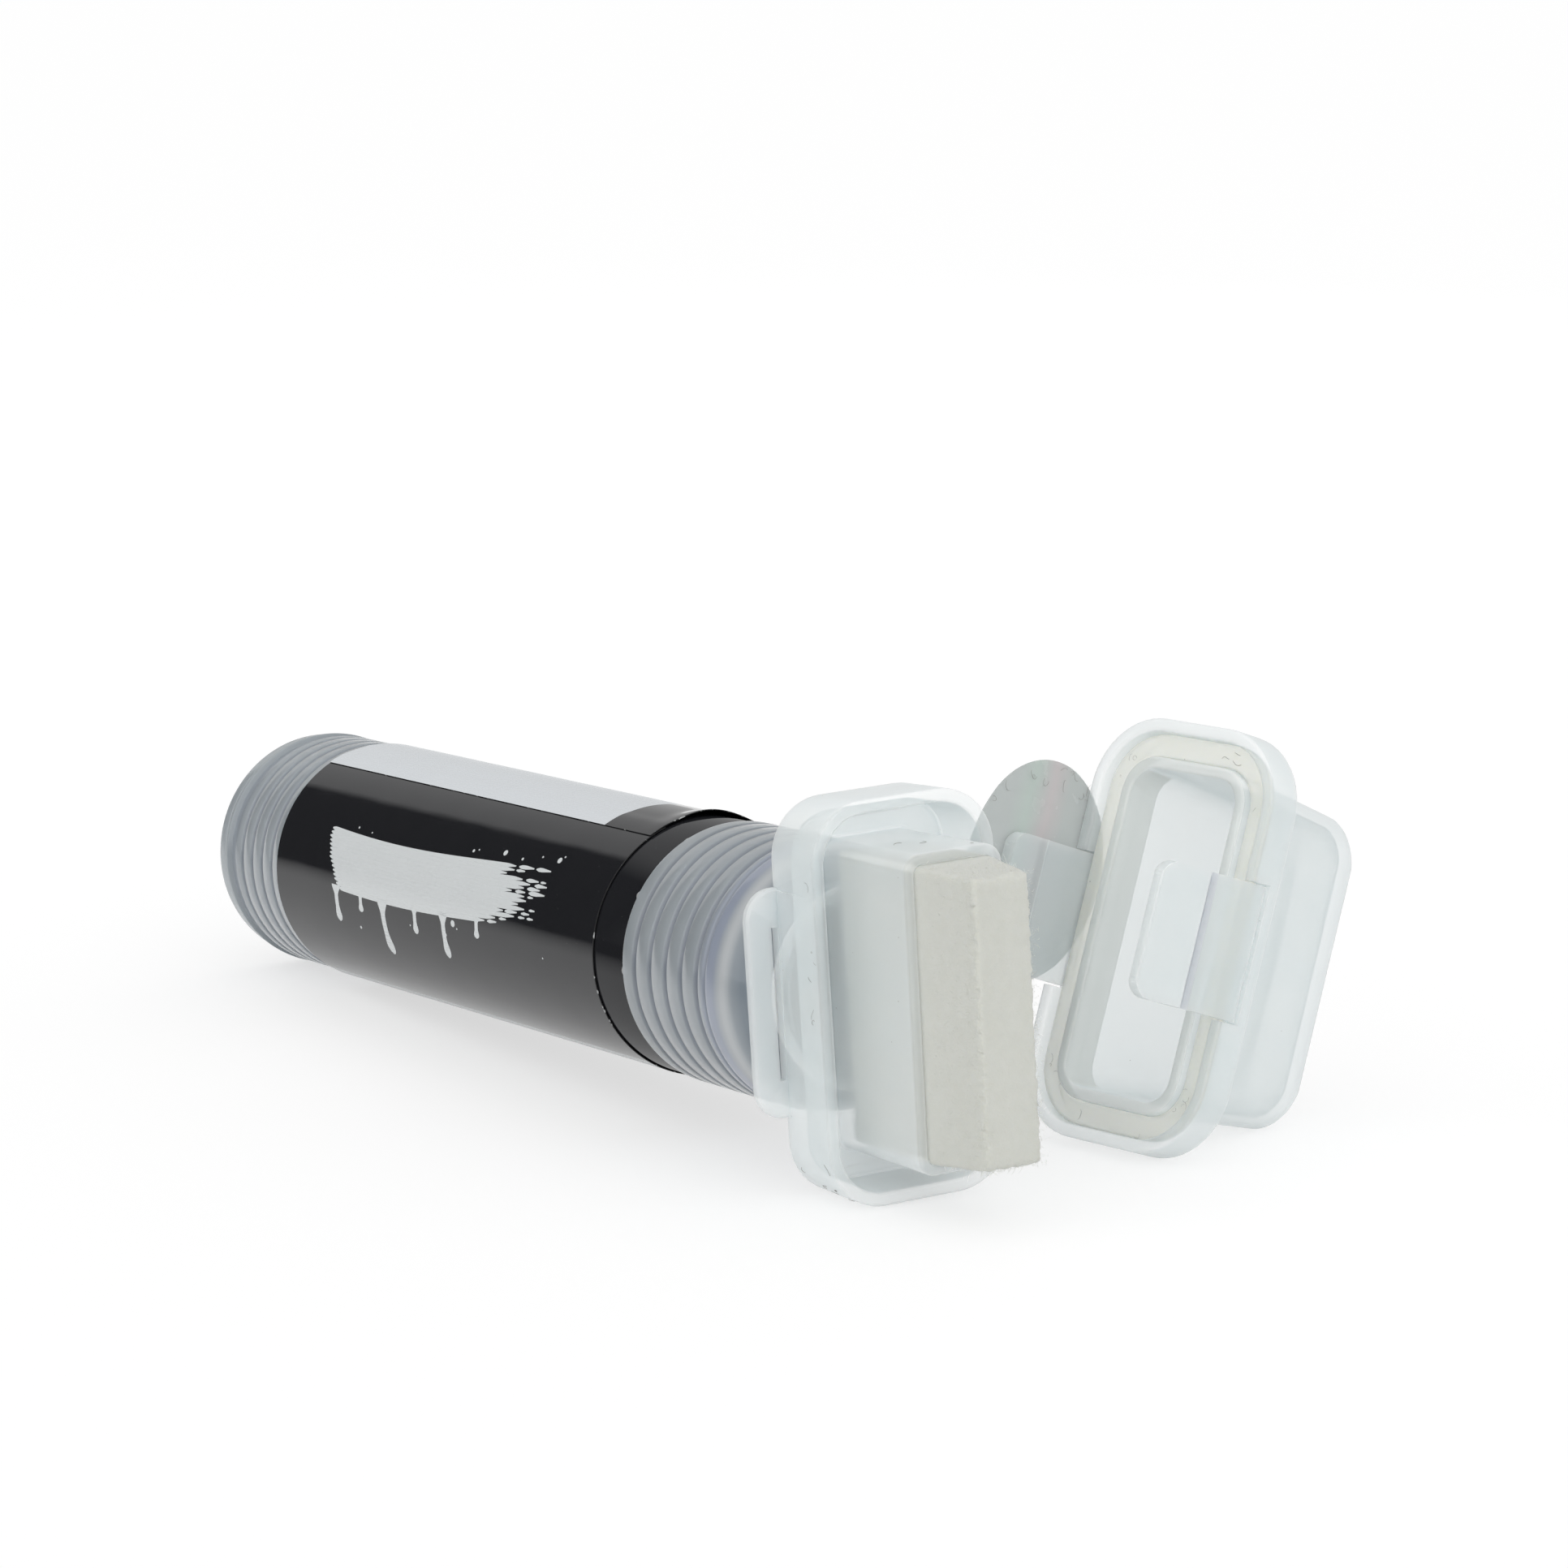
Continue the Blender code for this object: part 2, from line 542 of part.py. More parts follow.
def build():
    clear_scene()
    milky = material("milky_plastic", (0.78, 0.80, 0.78), 0.35)
    grey_tube = material("tube_plastic", (0.62, 0.64, 0.63), 0.35)
    black_film = material("black_film", (0.012, 0.012, 0.014), 0.18)
    print_film = material("label_film", (0.02, 0.02, 0.022), 0.22)
    felt = material("felt", (0.74, 0.68, 0.58), 0.95)
    silicone = material("seal_silicone", (0.66, 0.58, 0.45), 0.55)
    grey_seal = material("neck_seal", (0.55, 0.55, 0.54), 0.6)
    clear_film = material("clear_film", (0.55, 0.58, 0.55), 0.15)

    marker = bpy.data.objects.new("marker_frame", None)
    stand = bpy.data.objects.new("cap_frame", None)
    for frame in (marker, stand):
        bpy.context.scene.collection.objects.link(frame)

    build_barrel(grey_tube, marker)
    build_plug(grey_tube, marker)
    build_tube("under_sleeve", sleeve_inner, sleeve_outer, label_rear, sleeve_front, black_film, marker)
    build_tube("wrap_label", label_inner, label_outer, label_rear, label_front, print_film, marker)
    build_tube("neck_gasket", MOUTH_RADIUS + FIT_GAP, NECK_RADIUS - FIT_GAP, gasket_rear,
               gasket_rear + GASKET_THICKNESS, grey_seal, marker)
    build_head(milky, marker)
    build_nib(felt, marker)
    build_cap(milky, stand)
    build_cap_seal(silicone, stand)
    build_latch("right", 1, milky, stand)
    left = build_latch("left", -1, milky, stand)
    build_sticker(clear_film, left)

    # The marker rests on its first rear rib and on the lower corner of its turned head
    head_reach = HEAD_CORNER + (HEAD_HALF_HEIGHT - HEAD_CORNER) * math.cos(HEAD_ROLL)
    head_reach += (HEAD_HALF_WIDTH - HEAD_CORNER) * math.sin(HEAD_ROLL)
    pitch = math.atan2(head_reach - rear_radius, head_front - HEAD_EDGE - band_front - RIB_EDGE)
    marker.rotation_euler = (0, math.radians(90) - pitch, 0)
    stand.rotation_euler = (math.radians(90) - cap_lean(), 0, CAP_YAW)
    stand.location = (label_front * math.cos(pitch) + CAP_AHEAD, CAP_ASIDE, 0)
    solids = [thing for thing in bpy.data.objects if thing.type == "MESH" and not thing.hide_render]
    beside = ("cap_shell", "cap_gasket", "latch_left", "latch_right", "seal_sticker")
    rest(marker, [thing for thing in solids if thing.name not in beside])
    rest(stand, [thing for thing in solids if thing.name in beside])

    # Middle of the whole footprint at the origin
    bpy.context.view_layer.update()
    points = world_points(solids)
    for frame in (marker, stand):
        for axis in (0, 1):
            spread = [point[axis] for point in points]
            frame.location[axis] -= 0.5 * (min(spread) + max(spread))
    bpy.context.view_layer.update()
    print("marker frame", marker.matrix_world)
    print("cap frame", stand.matrix_world)


build()
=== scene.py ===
import json
import math
import random

import bmesh
import bpy
from mathutils import Matrix, Vector, noise


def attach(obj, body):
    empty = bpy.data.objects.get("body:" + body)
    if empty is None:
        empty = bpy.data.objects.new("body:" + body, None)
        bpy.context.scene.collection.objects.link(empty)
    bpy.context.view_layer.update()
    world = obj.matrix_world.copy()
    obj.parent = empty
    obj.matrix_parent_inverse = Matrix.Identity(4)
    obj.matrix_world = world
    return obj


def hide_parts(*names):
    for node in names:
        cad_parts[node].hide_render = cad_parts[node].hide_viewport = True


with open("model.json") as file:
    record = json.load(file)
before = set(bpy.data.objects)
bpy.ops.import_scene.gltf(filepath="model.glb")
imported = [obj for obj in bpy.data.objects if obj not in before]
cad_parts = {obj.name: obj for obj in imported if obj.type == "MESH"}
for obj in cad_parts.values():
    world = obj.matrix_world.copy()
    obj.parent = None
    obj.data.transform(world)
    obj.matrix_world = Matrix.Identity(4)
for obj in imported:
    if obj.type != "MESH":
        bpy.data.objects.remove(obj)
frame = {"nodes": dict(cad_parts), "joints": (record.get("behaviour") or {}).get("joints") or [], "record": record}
for startObject in ("Cube", "Light", "Camera"):
    if startObject in bpy.data.objects:
        bpy.data.objects.remove(bpy.data.objects[startObject])
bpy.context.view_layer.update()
print("frame loaded:", len(frame["nodes"]), "nodes")

mm = 0.001
joints = {joint["name"]: joint for joint in frame["joints"]}
scene = bpy.context.scene


def homeFrame(across, side, out, origin):
    # rigid frame from three directions and an origin
    home = Matrix((across, side, out)).transposed().to_4x4()
    home.translation = origin
    return home


# marker frame: x down, y towards the cap, z along the barrel from its base
baseFace = {"depth": 0.7}
alongDir = Vector(joints["head_turn"]["axis"]).normalized()
sideDir = Vector((0, 1, 0))
downDir = sideDir.cross(alongDir)
markerStart = Vector(frame["record"]["mounts"][0]["pos_m"]) - alongDir * baseFace["depth"] * mm
markerHome = homeFrame(downDir, sideDir, alongDir, markerStart)

# cap frame: x from the left tongue to the right one, y up the rim, z out of the mouth
tongueHinge = {"depth": 2.6}
leftHinge = Vector(joints["latch_left_flex"]["pos_m"])
rightHinge = Vector(joints["latch_right_flex"]["pos_m"])
acrossDir = (rightHinge - leftHinge).normalized()
rimUpDir = Vector(joints["latch_right_flex"]["axis"]).normalized()
mouthDir = acrossDir.cross(rimUpDir)
rimCentre = (leftHinge + rightHinge) / 2 + mouthDir * tongueHinge["depth"] * mm
capHome = homeFrame(acrossDir, rimUpDir, mouthDir, rimCentre)


# mesh tools, all in mm in the piece's own frame

cornerSteps = 14  # points on each rounded corner


def roundRect(halfX, halfY, corner, perCorner=cornerSteps):
    points = []
    for quarter, (signX, signY) in enumerate(((1, 1), (-1, 1), (-1, -1), (1, -1))):
        for step in range(perCorner):
            turn = math.radians(90) * (quarter + step / (perCorner - 1))
            points.append((signX * (halfX - corner) + corner * math.cos(turn),
                           signY * (halfY - corner) + corner * math.sin(turn)))
    return points


def turnSteps(count, offset=0.0):
    # angles at even steps of one full turn
    return [2 * math.pi * (k + offset) / count for k in range(count)]


def ringPoints(radius, count):
    return [(radius * math.cos(turn), radius * math.sin(turn)) for turn in turnSteps(count, 0.5)]


def softPath(corners, closed=False, steps=4):
    # rounds each corner (a, b, radius) of a path with a short curve
    count = len(corners)
    path = []
    for k, (a, b, radius) in enumerate(corners):
        here = Vector((a, b))
        if radius <= 0 or (not closed and k in (0, count - 1)):
            path.append((a, b))
            continue
        before = Vector(corners[k - 1][:2]) - here
        after = Vector(corners[(k + 1) % count][:2]) - here
        reach = min(radius, 0.45 * before.length, 0.45 * after.length)
        start = here + before.normalized() * reach
        end = here + after.normalized() * reach
        for step in range(steps + 1):
            t = step / steps
            point = start * (1 - t) ** 2 + here * 2 * t * (1 - t) + end * t ** 2
            path.append((point.x, point.y))
    return path


def turnMesh(profile, steps, closed=True):
    # spins (radius, along) points round the axis
    bm = bmesh.new()
    rings = []
    for radius, along in profile:
        if radius < 1e-6:
            rings.append([bm.verts.new((0, 0, along))])
            continue
        rings.append([bm.verts.new((radius * math.cos(t), radius * math.sin(t), along))
                      for t in turnSteps(steps)])
    bridgeAll(bm, rings + rings[:1] if closed else rings)
    return bm


def bridge(bm, first, second):
    # faces between two loops; a loop of one point is the tip of a fan
    for k in range(max(len(first), len(second))):
        corners = [first[k - 1], first[k]] if len(first) > 1 else [first[0]]
        corners += [second[k], second[k - 1]] if len(second) > 1 else [second[0]]
        bm.faces.new(corners)


def bridgeAll(bm, rings, ends=()):
    # joins each loop to the next and closes the loops named as ends
    for first, second in zip(rings, rings[1:]):
        bridge(bm, first, second)
    for end in ends:
        bm.faces.new(rings[end])


def skinMesh(sections, ring=False):
    # joins loops of points; a ring closes on its first loop, else the ends are filled
    bm = bmesh.new()
    loops = [[bm.verts.new(point) for point in section] for section in sections]
    bridgeAll(bm, loops + loops[:1] if ring else loops)
    if not ring:
        ends = [bm.faces.new(loops[0]), bm.faces.new(loops[-1])]
        bmesh.ops.poke(bm, faces=ends)
    return bm


def level(points, along):
    return [(x, y, along) for x, y in points]


def boxMesh(halfX, halfY, halfZ, centre):
    bm = bmesh.new()
    bmesh.ops.create_cube(bm, size=2.0)
    bmesh.ops.scale(bm, vec=(halfX, halfY, halfZ), verts=bm.verts)
    bmesh.ops.translate(bm, vec=centre, verts=bm.verts)
    return bm


def meshFrom(bm, name, sharpAngle=40):
    bmesh.ops.scale(bm, vec=(mm, mm, mm), verts=bm.verts)
    bmesh.ops.recalc_face_normals(bm, faces=bm.faces)
    mesh = bpy.data.meshes.new(name)
    bm.to_mesh(mesh)
    bm.free()
    mesh.shade_smooth()
    mesh.set_sharp_from_angle(angle=math.radians(sharpAngle))
    return mesh


def place(bm, name, home, looks, body, nodes=(), sharpAngle=40, helpers=()):
    # helpers are (bmesh, operation) pairs joined to the piece or cut from it
    piece = bpy.data.objects.new(name, meshFrom(bm, name, sharpAngle))
    scene.collection.objects.link(piece)
    for count, (helperMesh, operation) in enumerate(helpers):
        helper = bpy.data.objects.new(f"{name}Helper{count}", meshFrom(helperMesh, f"{name}Helper{count}"))
        scene.collection.objects.link(helper)
        cut = piece.modifiers.new(helper.name, "BOOLEAN")
        cut.operation = operation
        cut.solver = "EXACT"
        cut.object = helper
        bpy.context.view_layer.update()
        solid = bpy.data.meshes.new_from_object(piece.evaluated_get(bpy.context.evaluated_depsgraph_get()))
        piece.modifiers.clear()
        piece.data = solid
        bpy.data.objects.remove(helper)
    if helpers:
        piece.data.shade_smooth()
        piece.data.set_sharp_from_angle(angle=math.radians(sharpAngle))
        piece.data.materials.clear()
    for look in looks if isinstance(looks, (list, tuple)) else [looks]:
        piece.data.materials.append(look)
    piece.matrix_world = home
    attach(piece, body)
    if nodes:
        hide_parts(*nodes)
    print("piece:", name, len(piece.data.polygons), "faces")
    return piece


def onTube(along, angle, radius):
    # a place on the barrel; the angle in degrees runs from the top towards the cap's side
    turn = math.radians(angle)
    return (-radius * math.cos(turn), radius * math.sin(turn), along)


def smoothStep(low, high, value):
    t = min(max((value - low) / (high - low), 0.0), 1.0)
    return t * t * (3 - 2 * t)


# material tools

def newLook(name):
    look = bpy.data.materials.new(name)
    look.use_nodes = True
    return look, look.node_tree, look.node_tree.nodes["Principled BSDF"]


def addNode(tree, kind, wires, settings=None):
    made = tree.nodes.new(kind)
    for key, value in (settings or {}).items():
        setattr(made, key, value)
    joinWires(tree, made, wires)
    return made


def joinWires(tree, node, wires):
    for key, value in wires.items():
        if isinstance(value, bpy.types.NodeSocket):
            tree.links.new(value, node.inputs[key])
        else:
            node.inputs[key].default_value = value


def ownPlace(tree, stretch=(1, 1, 1)):
    # the piece's own coordinates, in metres, so that patterns ride with it
    spot = tree.nodes.new("ShaderNodeTexCoord").outputs["Object"]
    return addNode(tree, "ShaderNodeMapping", {"Vector": spot, "Scale": stretch}).outputs["Vector"]


def ownAxis(tree, axis):
    # one of those coordinates by itself
    return addNode(tree, "ShaderNodeSeparateXYZ", {"Vector": ownPlace(tree)}).outputs[axis]


def cloud(tree, spot, scale, detail=3.0, rough=0.5):
    wires = {"Vector": spot, "Scale": scale, "Detail": detail, "Roughness": rough}
    return addNode(tree, "ShaderNodeTexNoise", wires).outputs["Fac"]


def speckle(tree, spot, scale, size):
    # 1 inside small scattered specks, 0 elsewhere
    cells = addNode(tree, "ShaderNodeTexVoronoi", {"Vector": spot, "Scale": scale})
    return remap(tree, cells.outputs["Distance"], size, size * 0.6, 0.0, 1.0)


def remap(tree, value, fromLow, fromHigh, low, high):
    wires = {"Value": value, "From Min": fromLow, "From Max": fromHigh, "To Min": low, "To Max": high}
    return addNode(tree, "ShaderNodeMapRange", wires).outputs["Result"]


def mixColour(tree, share, *colours):
    # sockets 6 and 7 of the mix node take colours
    first, second = ((*colour, 1.0) if isinstance(colour, tuple) else colour for colour in colours)
    return addNode(tree, "ShaderNodeMix", {0: share, 6: first, 7: second}, {"data_type": "RGBA"}).outputs[2]


def arith(tree, operation, first, second=0.0):
    return addNode(tree, "ShaderNodeMath", {0: first, 1: second}, {"operation": operation}).outputs[0]


def bumpFrom(tree, height, strength, distance):
    return addNode(tree, "ShaderNodeBump",
                   {"Height": height, "Strength": strength, "Distance": distance}).outputs[0]


# a milky wall gets denser from one slant to another, and passes on lampShare of what it stops from the lamps
milkyWall = {"slantFrom": 0.15, "slantFull": 0.75, "lampShare": 0.85, "plateSoft": 0.5}


def wallBody(tree, body, plate=None):
    # how much of a wall is milky: less square on, more at a slant or in a thick plate at the back;
    # the far side of each wall counts for nothing
    if not body:
        return 1.0
    w = milkyWall
    slant = addNode(tree, "ShaderNodeLayerWeight", {"Blend": 0.5}).outputs["Facing"]
    dense = remap(tree, slant, w["slantFrom"], w["slantFull"], *body)
    if plate:
        front, plateBody = plate
        inPlate = remap(tree, ownAxis(tree, "Z"), front * mm, (front + w["plateSoft"]) * mm, plateBody, 0.0)
        dense = arith(tree, "MAXIMUM", dense, inPlate)
    back = tree.nodes.new("ShaderNodeNewGeometry").outputs["Backfacing"]
    lampRay = tree.nodes.new("ShaderNodeLightPath").outputs["Is Shadow Ray"]
    stopped = arith(tree, "SUBTRACT", 1.0, arith(tree, "MULTIPLY", lampRay, w["lampShare"]))
    return arith(tree, "MULTIPLY",
                 arith(tree, "MULTIPLY", arith(tree, "SUBTRACT", 1.0, back), stopped), dense)


# body is how dense a wall is square on and at a slant
# plate is where the back plate ends, and how dense it is
milkyPlastic = {
    "pale": (0.865, 0.922, 0.928), "deep": (0.835, 0.90, 0.91), "dust": (0.42, 0.40, 0.37),
    "smooth": 0.30, "rough": 0.42, "through": 0.0, "body": (0.40, 0.86), "plate": (175.5, 0.7),
    "ior": 1.45, "coat": 0.2, "glow": 1.0, "reach": 2.0 * mm,
}
capPlastic = {
    **milkyPlastic, "pale": (0.80, 0.853, 0.858), "deep": (0.773, 0.833, 0.842), "body": (0.46, 0.88),
    "plate": None,
}
# painted shade: darker, greyer plastic for the shaded inner walls of the collar round the pouch's mouth
throatPlastic = {
    **capPlastic, "pale": (0.735, 0.77, 0.755), "deep": (0.715, 0.75, 0.735), "body": (0.80, 0.95),
}
# painted shade: darker plastic for the notch, for the shadow line in its fold
notchPlastic = {**capPlastic, "pale": (0.60, 0.63, 0.67), "deep": (0.58, 0.61, 0.65), "body": (0.74, 0.93)}
tubePlastic = {
    "pale": (0.58, 0.63, 0.66), "deep": (0.50, 0.55, 0.585), "dust": (0.30, 0.30, 0.30),
    "smooth": 0.34, "rough": 0.46, "through": 0.45, "body": None, "plate": None,
    "ior": 1.40, "coat": 0.8, "glow": 0.0, "reach": mm,
}
plasticGrain = {
    "flow": 90.0, "flowLong": (1, 1, 0.4), "specks": 210.0, "speckSize": 0.022, "fine": 2600.0,
    "patches": 240.0, "bump": 0.10, "bumpDeep": 0.05, "coatRough": 0.10,
}


def makePlastic(name, sizes):
    # translucent moulded plastic: flow clouds, fine mould texture and dust specks
    g = plasticGrain
    look, tree, shader = newLook(name)
    spot = ownPlace(tree)
    flow = cloud(tree, ownPlace(tree, g["flowLong"]), g["flow"], 4.0)
    colour = mixColour(tree, remap(tree, flow, 0.35, 0.65, 0.0, 1.0), sizes["pale"], sizes["deep"])
    colour = mixColour(tree, speckle(tree, spot, g["specks"], g["speckSize"]), colour, sizes["dust"])
    fine = cloud(tree, spot, g["fine"], 2.0)
    rough = remap(tree, cloud(tree, spot, g["patches"]), 0.3, 0.7, sizes["smooth"], sizes["rough"])
    joinWires(tree, shader, {
        "Base Color": colour, "Roughness": rough, "IOR": sizes["ior"],
        "Transmission Weight": sizes["through"], "Coat Weight": sizes["coat"],
        "Coat Roughness": g["coatRough"], "Alpha": wallBody(tree, sizes["body"], sizes["plate"]),
        "Subsurface Weight": sizes["glow"], "Subsurface Radius": (1.0, 1.0, 1.0),
        "Subsurface Scale": sizes["reach"], "Normal": bumpFrom(tree, fine, g["bump"], g["bumpDeep"] * mm),
    })
    return look


blackFilm = {
    "ink": (0.013, 0.0135, 0.016), "dust": (0.10, 0.10, 0.10), "smooth": 0.05, "rough": 0.11, "ripple": 0.10,
}
silverFilm = {
    "ink": (0.75, 0.785, 0.815), "dust": (0.73, 0.76, 0.79), "smooth": 0.26, "rough": 0.29, "ripple": 0.01,
}
whiteFilm = {
    "ink": (0.74, 0.77, 0.775), "dust": (0.66, 0.68, 0.69), "smooth": 0.26, "rough": 0.31, "ripple": 0.03,
}
filmGrain = {
    "blotches": 160.0, "fade": 0.97, "haze": 0.004, "specks": 420.0, "speckSize": 0.03, "ior": 1.38,
    "scratches": 2400.0, "scratchLong": (1, 1, 0.06), "ripples": 110.0, "rippleLong": (1, 1, 0.5),
    "rippleDeep": 0.2,
}


def makeFilm(name, sizes):
    # glossy printed film: faint blotches, dust, hair scratches and a shallow ripple
    g = filmGrain
    look, tree, shader = newLook(name)
    spot = ownPlace(tree)
    worn = tuple(g["fade"] * share + g["haze"] for share in sizes["ink"])
    colour = mixColour(tree, cloud(tree, spot, g["blotches"]), sizes["ink"], worn)
    colour = mixColour(tree, speckle(tree, spot, g["specks"], g["speckSize"]), colour, sizes["dust"])
    scratch = cloud(tree, ownPlace(tree, g["scratchLong"]), g["scratches"], 2.0)
    rough = remap(tree, scratch, 0.35, 0.75, sizes["smooth"], sizes["rough"])
    ripple = cloud(tree, ownPlace(tree, g["rippleLong"]), g["ripples"], 2.0)
    joinWires(tree, shader, {
        "Base Color": colour, "Roughness": rough, "IOR": g["ior"],
        "Normal": bumpFrom(tree, ripple, sizes["ripple"], g["rippleDeep"] * mm),
    })
    return look


cutEdge = {
    "ink": (0.015, 0.015, 0.016), "core": (0.60, 0.61, 0.61), "nicks": 900.0, "nickFrom": 0.64,
    "nickFull": 0.69,
}


def makeCutEdge():
    # label edge: black ink broken by white nicks where the knife went through
    look, tree, shader = newLook("labelCutEdge")
    c = cutEdge
    nicks = cloud(tree, ownPlace(tree), c["nicks"], 1.0)
    colour = mixColour(tree, remap(tree, nicks, c["nickFrom"], c["nickFull"], 0.0, 1.0), c["ink"], c["core"])
    joinWires(tree, shader, {"Base Color": colour, "Roughness": remap(tree, nicks, 0.3, 0.7, 0.4, 0.6)})
    return look


feltWool = {
    "pale": (0.72, 0.73, 0.68), "warm": (0.69, 0.70, 0.645), "fibre": (0.76, 0.77, 0.725), "layers": 260.0,
    "layerLong": (0.06, 1, 1), "layerShare": 0.3, "clumps": 520.0, "clumpShare": 0.7, "fuzz": 3800.0,
    "bump": 0.8, "bumpDeep": 0.14, "fibreShades": 900.0,
}


def makeFelt():
    # pressed felt: layers across the nib, cloudy wool and a fuzzy surface
    f = feltWool
    look, tree, shader = newLook("pressedFelt")
    spot = ownPlace(tree)
    layers = cloud(tree, ownPlace(tree, f["layerLong"]), f["layers"], 2.0)
    clumps = cloud(tree, spot, f["clumps"], 6.0, 0.65)
    blend = arith(tree, "ADD", arith(tree, "MULTIPLY", layers, f["layerShare"]),
                  arith(tree, "MULTIPLY", clumps, f["clumpShare"]))
    colour = mixColour(tree, remap(tree, blend, 0.36, 0.64, 0.0, 1.0), f["warm"], f["pale"])
    fuzz = cloud(tree, spot, f["fuzz"], 4.0, 0.7)
    joinWires(tree, shader, {
        "Base Color": colour, "Roughness": remap(tree, fuzz, 0.2, 0.8, 0.85, 1.0),
        "Specular IOR Level": 0.15, "Sheen Weight": 0.25, "Sheen Roughness": 0.6,
        "Subsurface Weight": 0.35, "Subsurface Radius": (1.2, 1.1, 0.9), "Subsurface Scale": mm,
        "Normal": bumpFrom(tree, arith(tree, "ADD", fuzz, clumps), f["bump"], f["bumpDeep"] * mm),
    })
    return look


def makeFibre():
    look, tree, shader = newLook("feltFibre")
    shade = cloud(tree, ownPlace(tree), feltWool["fibreShades"], 2.0)
    joinWires(tree, shader, {
        "Base Color": mixColour(tree, shade, feltWool["pale"], feltWool["fibre"]),
        "Roughness": remap(tree, shade, 0.3, 0.7, 0.7, 0.9), "Specular IOR Level": 0.2,
    })
    return look


siliconeSeal = {
    "pale": (0.94, 0.93, 0.85), "warm": (0.91, 0.895, 0.805), "dust": (0.45, 0.42, 0.38), "body": (0.55, 0.8),
}
greySeal = {"pale": (0.82, 0.83, 0.83), "warm": (0.76, 0.77, 0.77), "dust": (0.3, 0.3, 0.3), "body": None}
sealGrain = {
    "tones": 180.0, "specks": 420.0, "speckSize": 0.05, "skin": 1500.0, "bump": 0.25, "bumpDeep": 0.05,
}


def makeSilicone(name, sizes):
    # soft seal: matt, slightly see-through where it has a body, with dust that clings to it
    g = sealGrain
    look, tree, shader = newLook(name)
    spot = ownPlace(tree)
    colour = mixColour(tree, cloud(tree, spot, g["tones"], 4.0), sizes["pale"], sizes["warm"])
    colour = mixColour(tree, speckle(tree, spot, g["specks"], g["speckSize"]), colour, sizes["dust"])
    skin = cloud(tree, spot, g["skin"])
    joinWires(tree, shader, {
        "Base Color": colour, "Roughness": remap(tree, skin, 0.3, 0.7, 0.5, 0.7),
        "Alpha": wallBody(tree, sizes["body"]),
        "Subsurface Weight": 0.6, "Subsurface Radius": (2.0, 1.8, 1.4), "Subsurface Scale": mm,
        "Normal": bumpFrom(tree, skin, g["bump"], g["bumpDeep"] * mm),
    })
    return look


lintGrey = {"dark": (0.16, 0.15, 0.14), "light": (0.34, 0.32, 0.30)}


def makeLint():
    look, tree, shader = newLook("lintHair")
    shade = cloud(tree, ownPlace(tree), 300.0, 2.0)
    joinWires(tree, shader, {
        "Base Color": mixColour(tree, shade, lintGrey["dark"], lintGrey["light"]),
        "Roughness": remap(tree, shade, 0.3, 0.7, 0.5, 0.8),
    })
    return look


# each painted sheen is a tint and where its band begins and ends on the film
sealFilm = {
    "grey": (0.60, 0.64, 0.63), "paintedSheens": (((0.72, 0.63, 0.64), 9, 17), ((0.60, 0.72, 0.65), 14, 21)),
    "sheenShare": 0.7, "waves": 60.0, "waveDrift": 4, "creases": 220.0, "bump": 0.1, "bumpDeep": 0.1,
    "smooth": 0.16, "rough": 0.30, "body": 0.7, "ior": 1.45, "coat": 0.3,
}


def makeSealFilm():
    # closure film: grey with a weak rainbow band up its middle, a painted sheen of interference colour
    f = sealFilm
    look, tree, shader = newLook("sealFilm")
    wave = cloud(tree, ownPlace(tree), f["waves"], 2.0)
    drift = arith(tree, "ADD", ownAxis(tree, "Z"), arith(tree, "MULTIPLY", wave, f["waveDrift"] * mm))
    colour = f["grey"]
    for tint, begin, end in f["paintedSheens"]:
        aside = arith(tree, "ABSOLUTE", remap(tree, drift, begin * mm, end * mm, -1.0, 1.0))
        sheen = arith(tree, "MULTIPLY", arith(tree, "SUBTRACT", 1.0, aside), f["sheenShare"])
        colour = mixColour(tree, sheen, colour, tint)
    crease = cloud(tree, ownPlace(tree), f["creases"], 4.0)
    joinWires(tree, shader, {
        "Base Color": colour, "Roughness": remap(tree, crease, 0.3, 0.7, f["smooth"], f["rough"]),
        "Alpha": f["body"], "IOR": f["ior"], "Coat Weight": f["coat"],
        "Normal": bumpFrom(tree, crease, f["bump"], f["bumpDeep"] * mm),
    })
    return look


milkyLook = makePlastic("milkyPlastic", milkyPlastic)
capLook = makePlastic("capPlastic", capPlastic)
throatShadeLook = makePlastic("throatPlastic", throatPlastic)
notchShadeLook = makePlastic("notchPlastic", notchPlastic)
tubeLook = makePlastic("tubePlastic", tubePlastic)
blackLook = makeFilm("blackFilm", blackFilm)
labelLook = makeFilm("labelBlack", blackFilm)
silverLook = makeFilm("labelSilver", silverFilm)
whiteLook = makeFilm("labelWhite", whiteFilm)
cutLook = makeCutEdge()
feltLook = makeFelt()
fibreLook = makeFibre()
siliconeLook = makeSilicone("siliconeSeal", siliconeSeal)
greySealLook = makeSilicone("greySeal", greySeal)
lintLook = makeLint()
sealLook = makeSealFilm()
print("materials made")


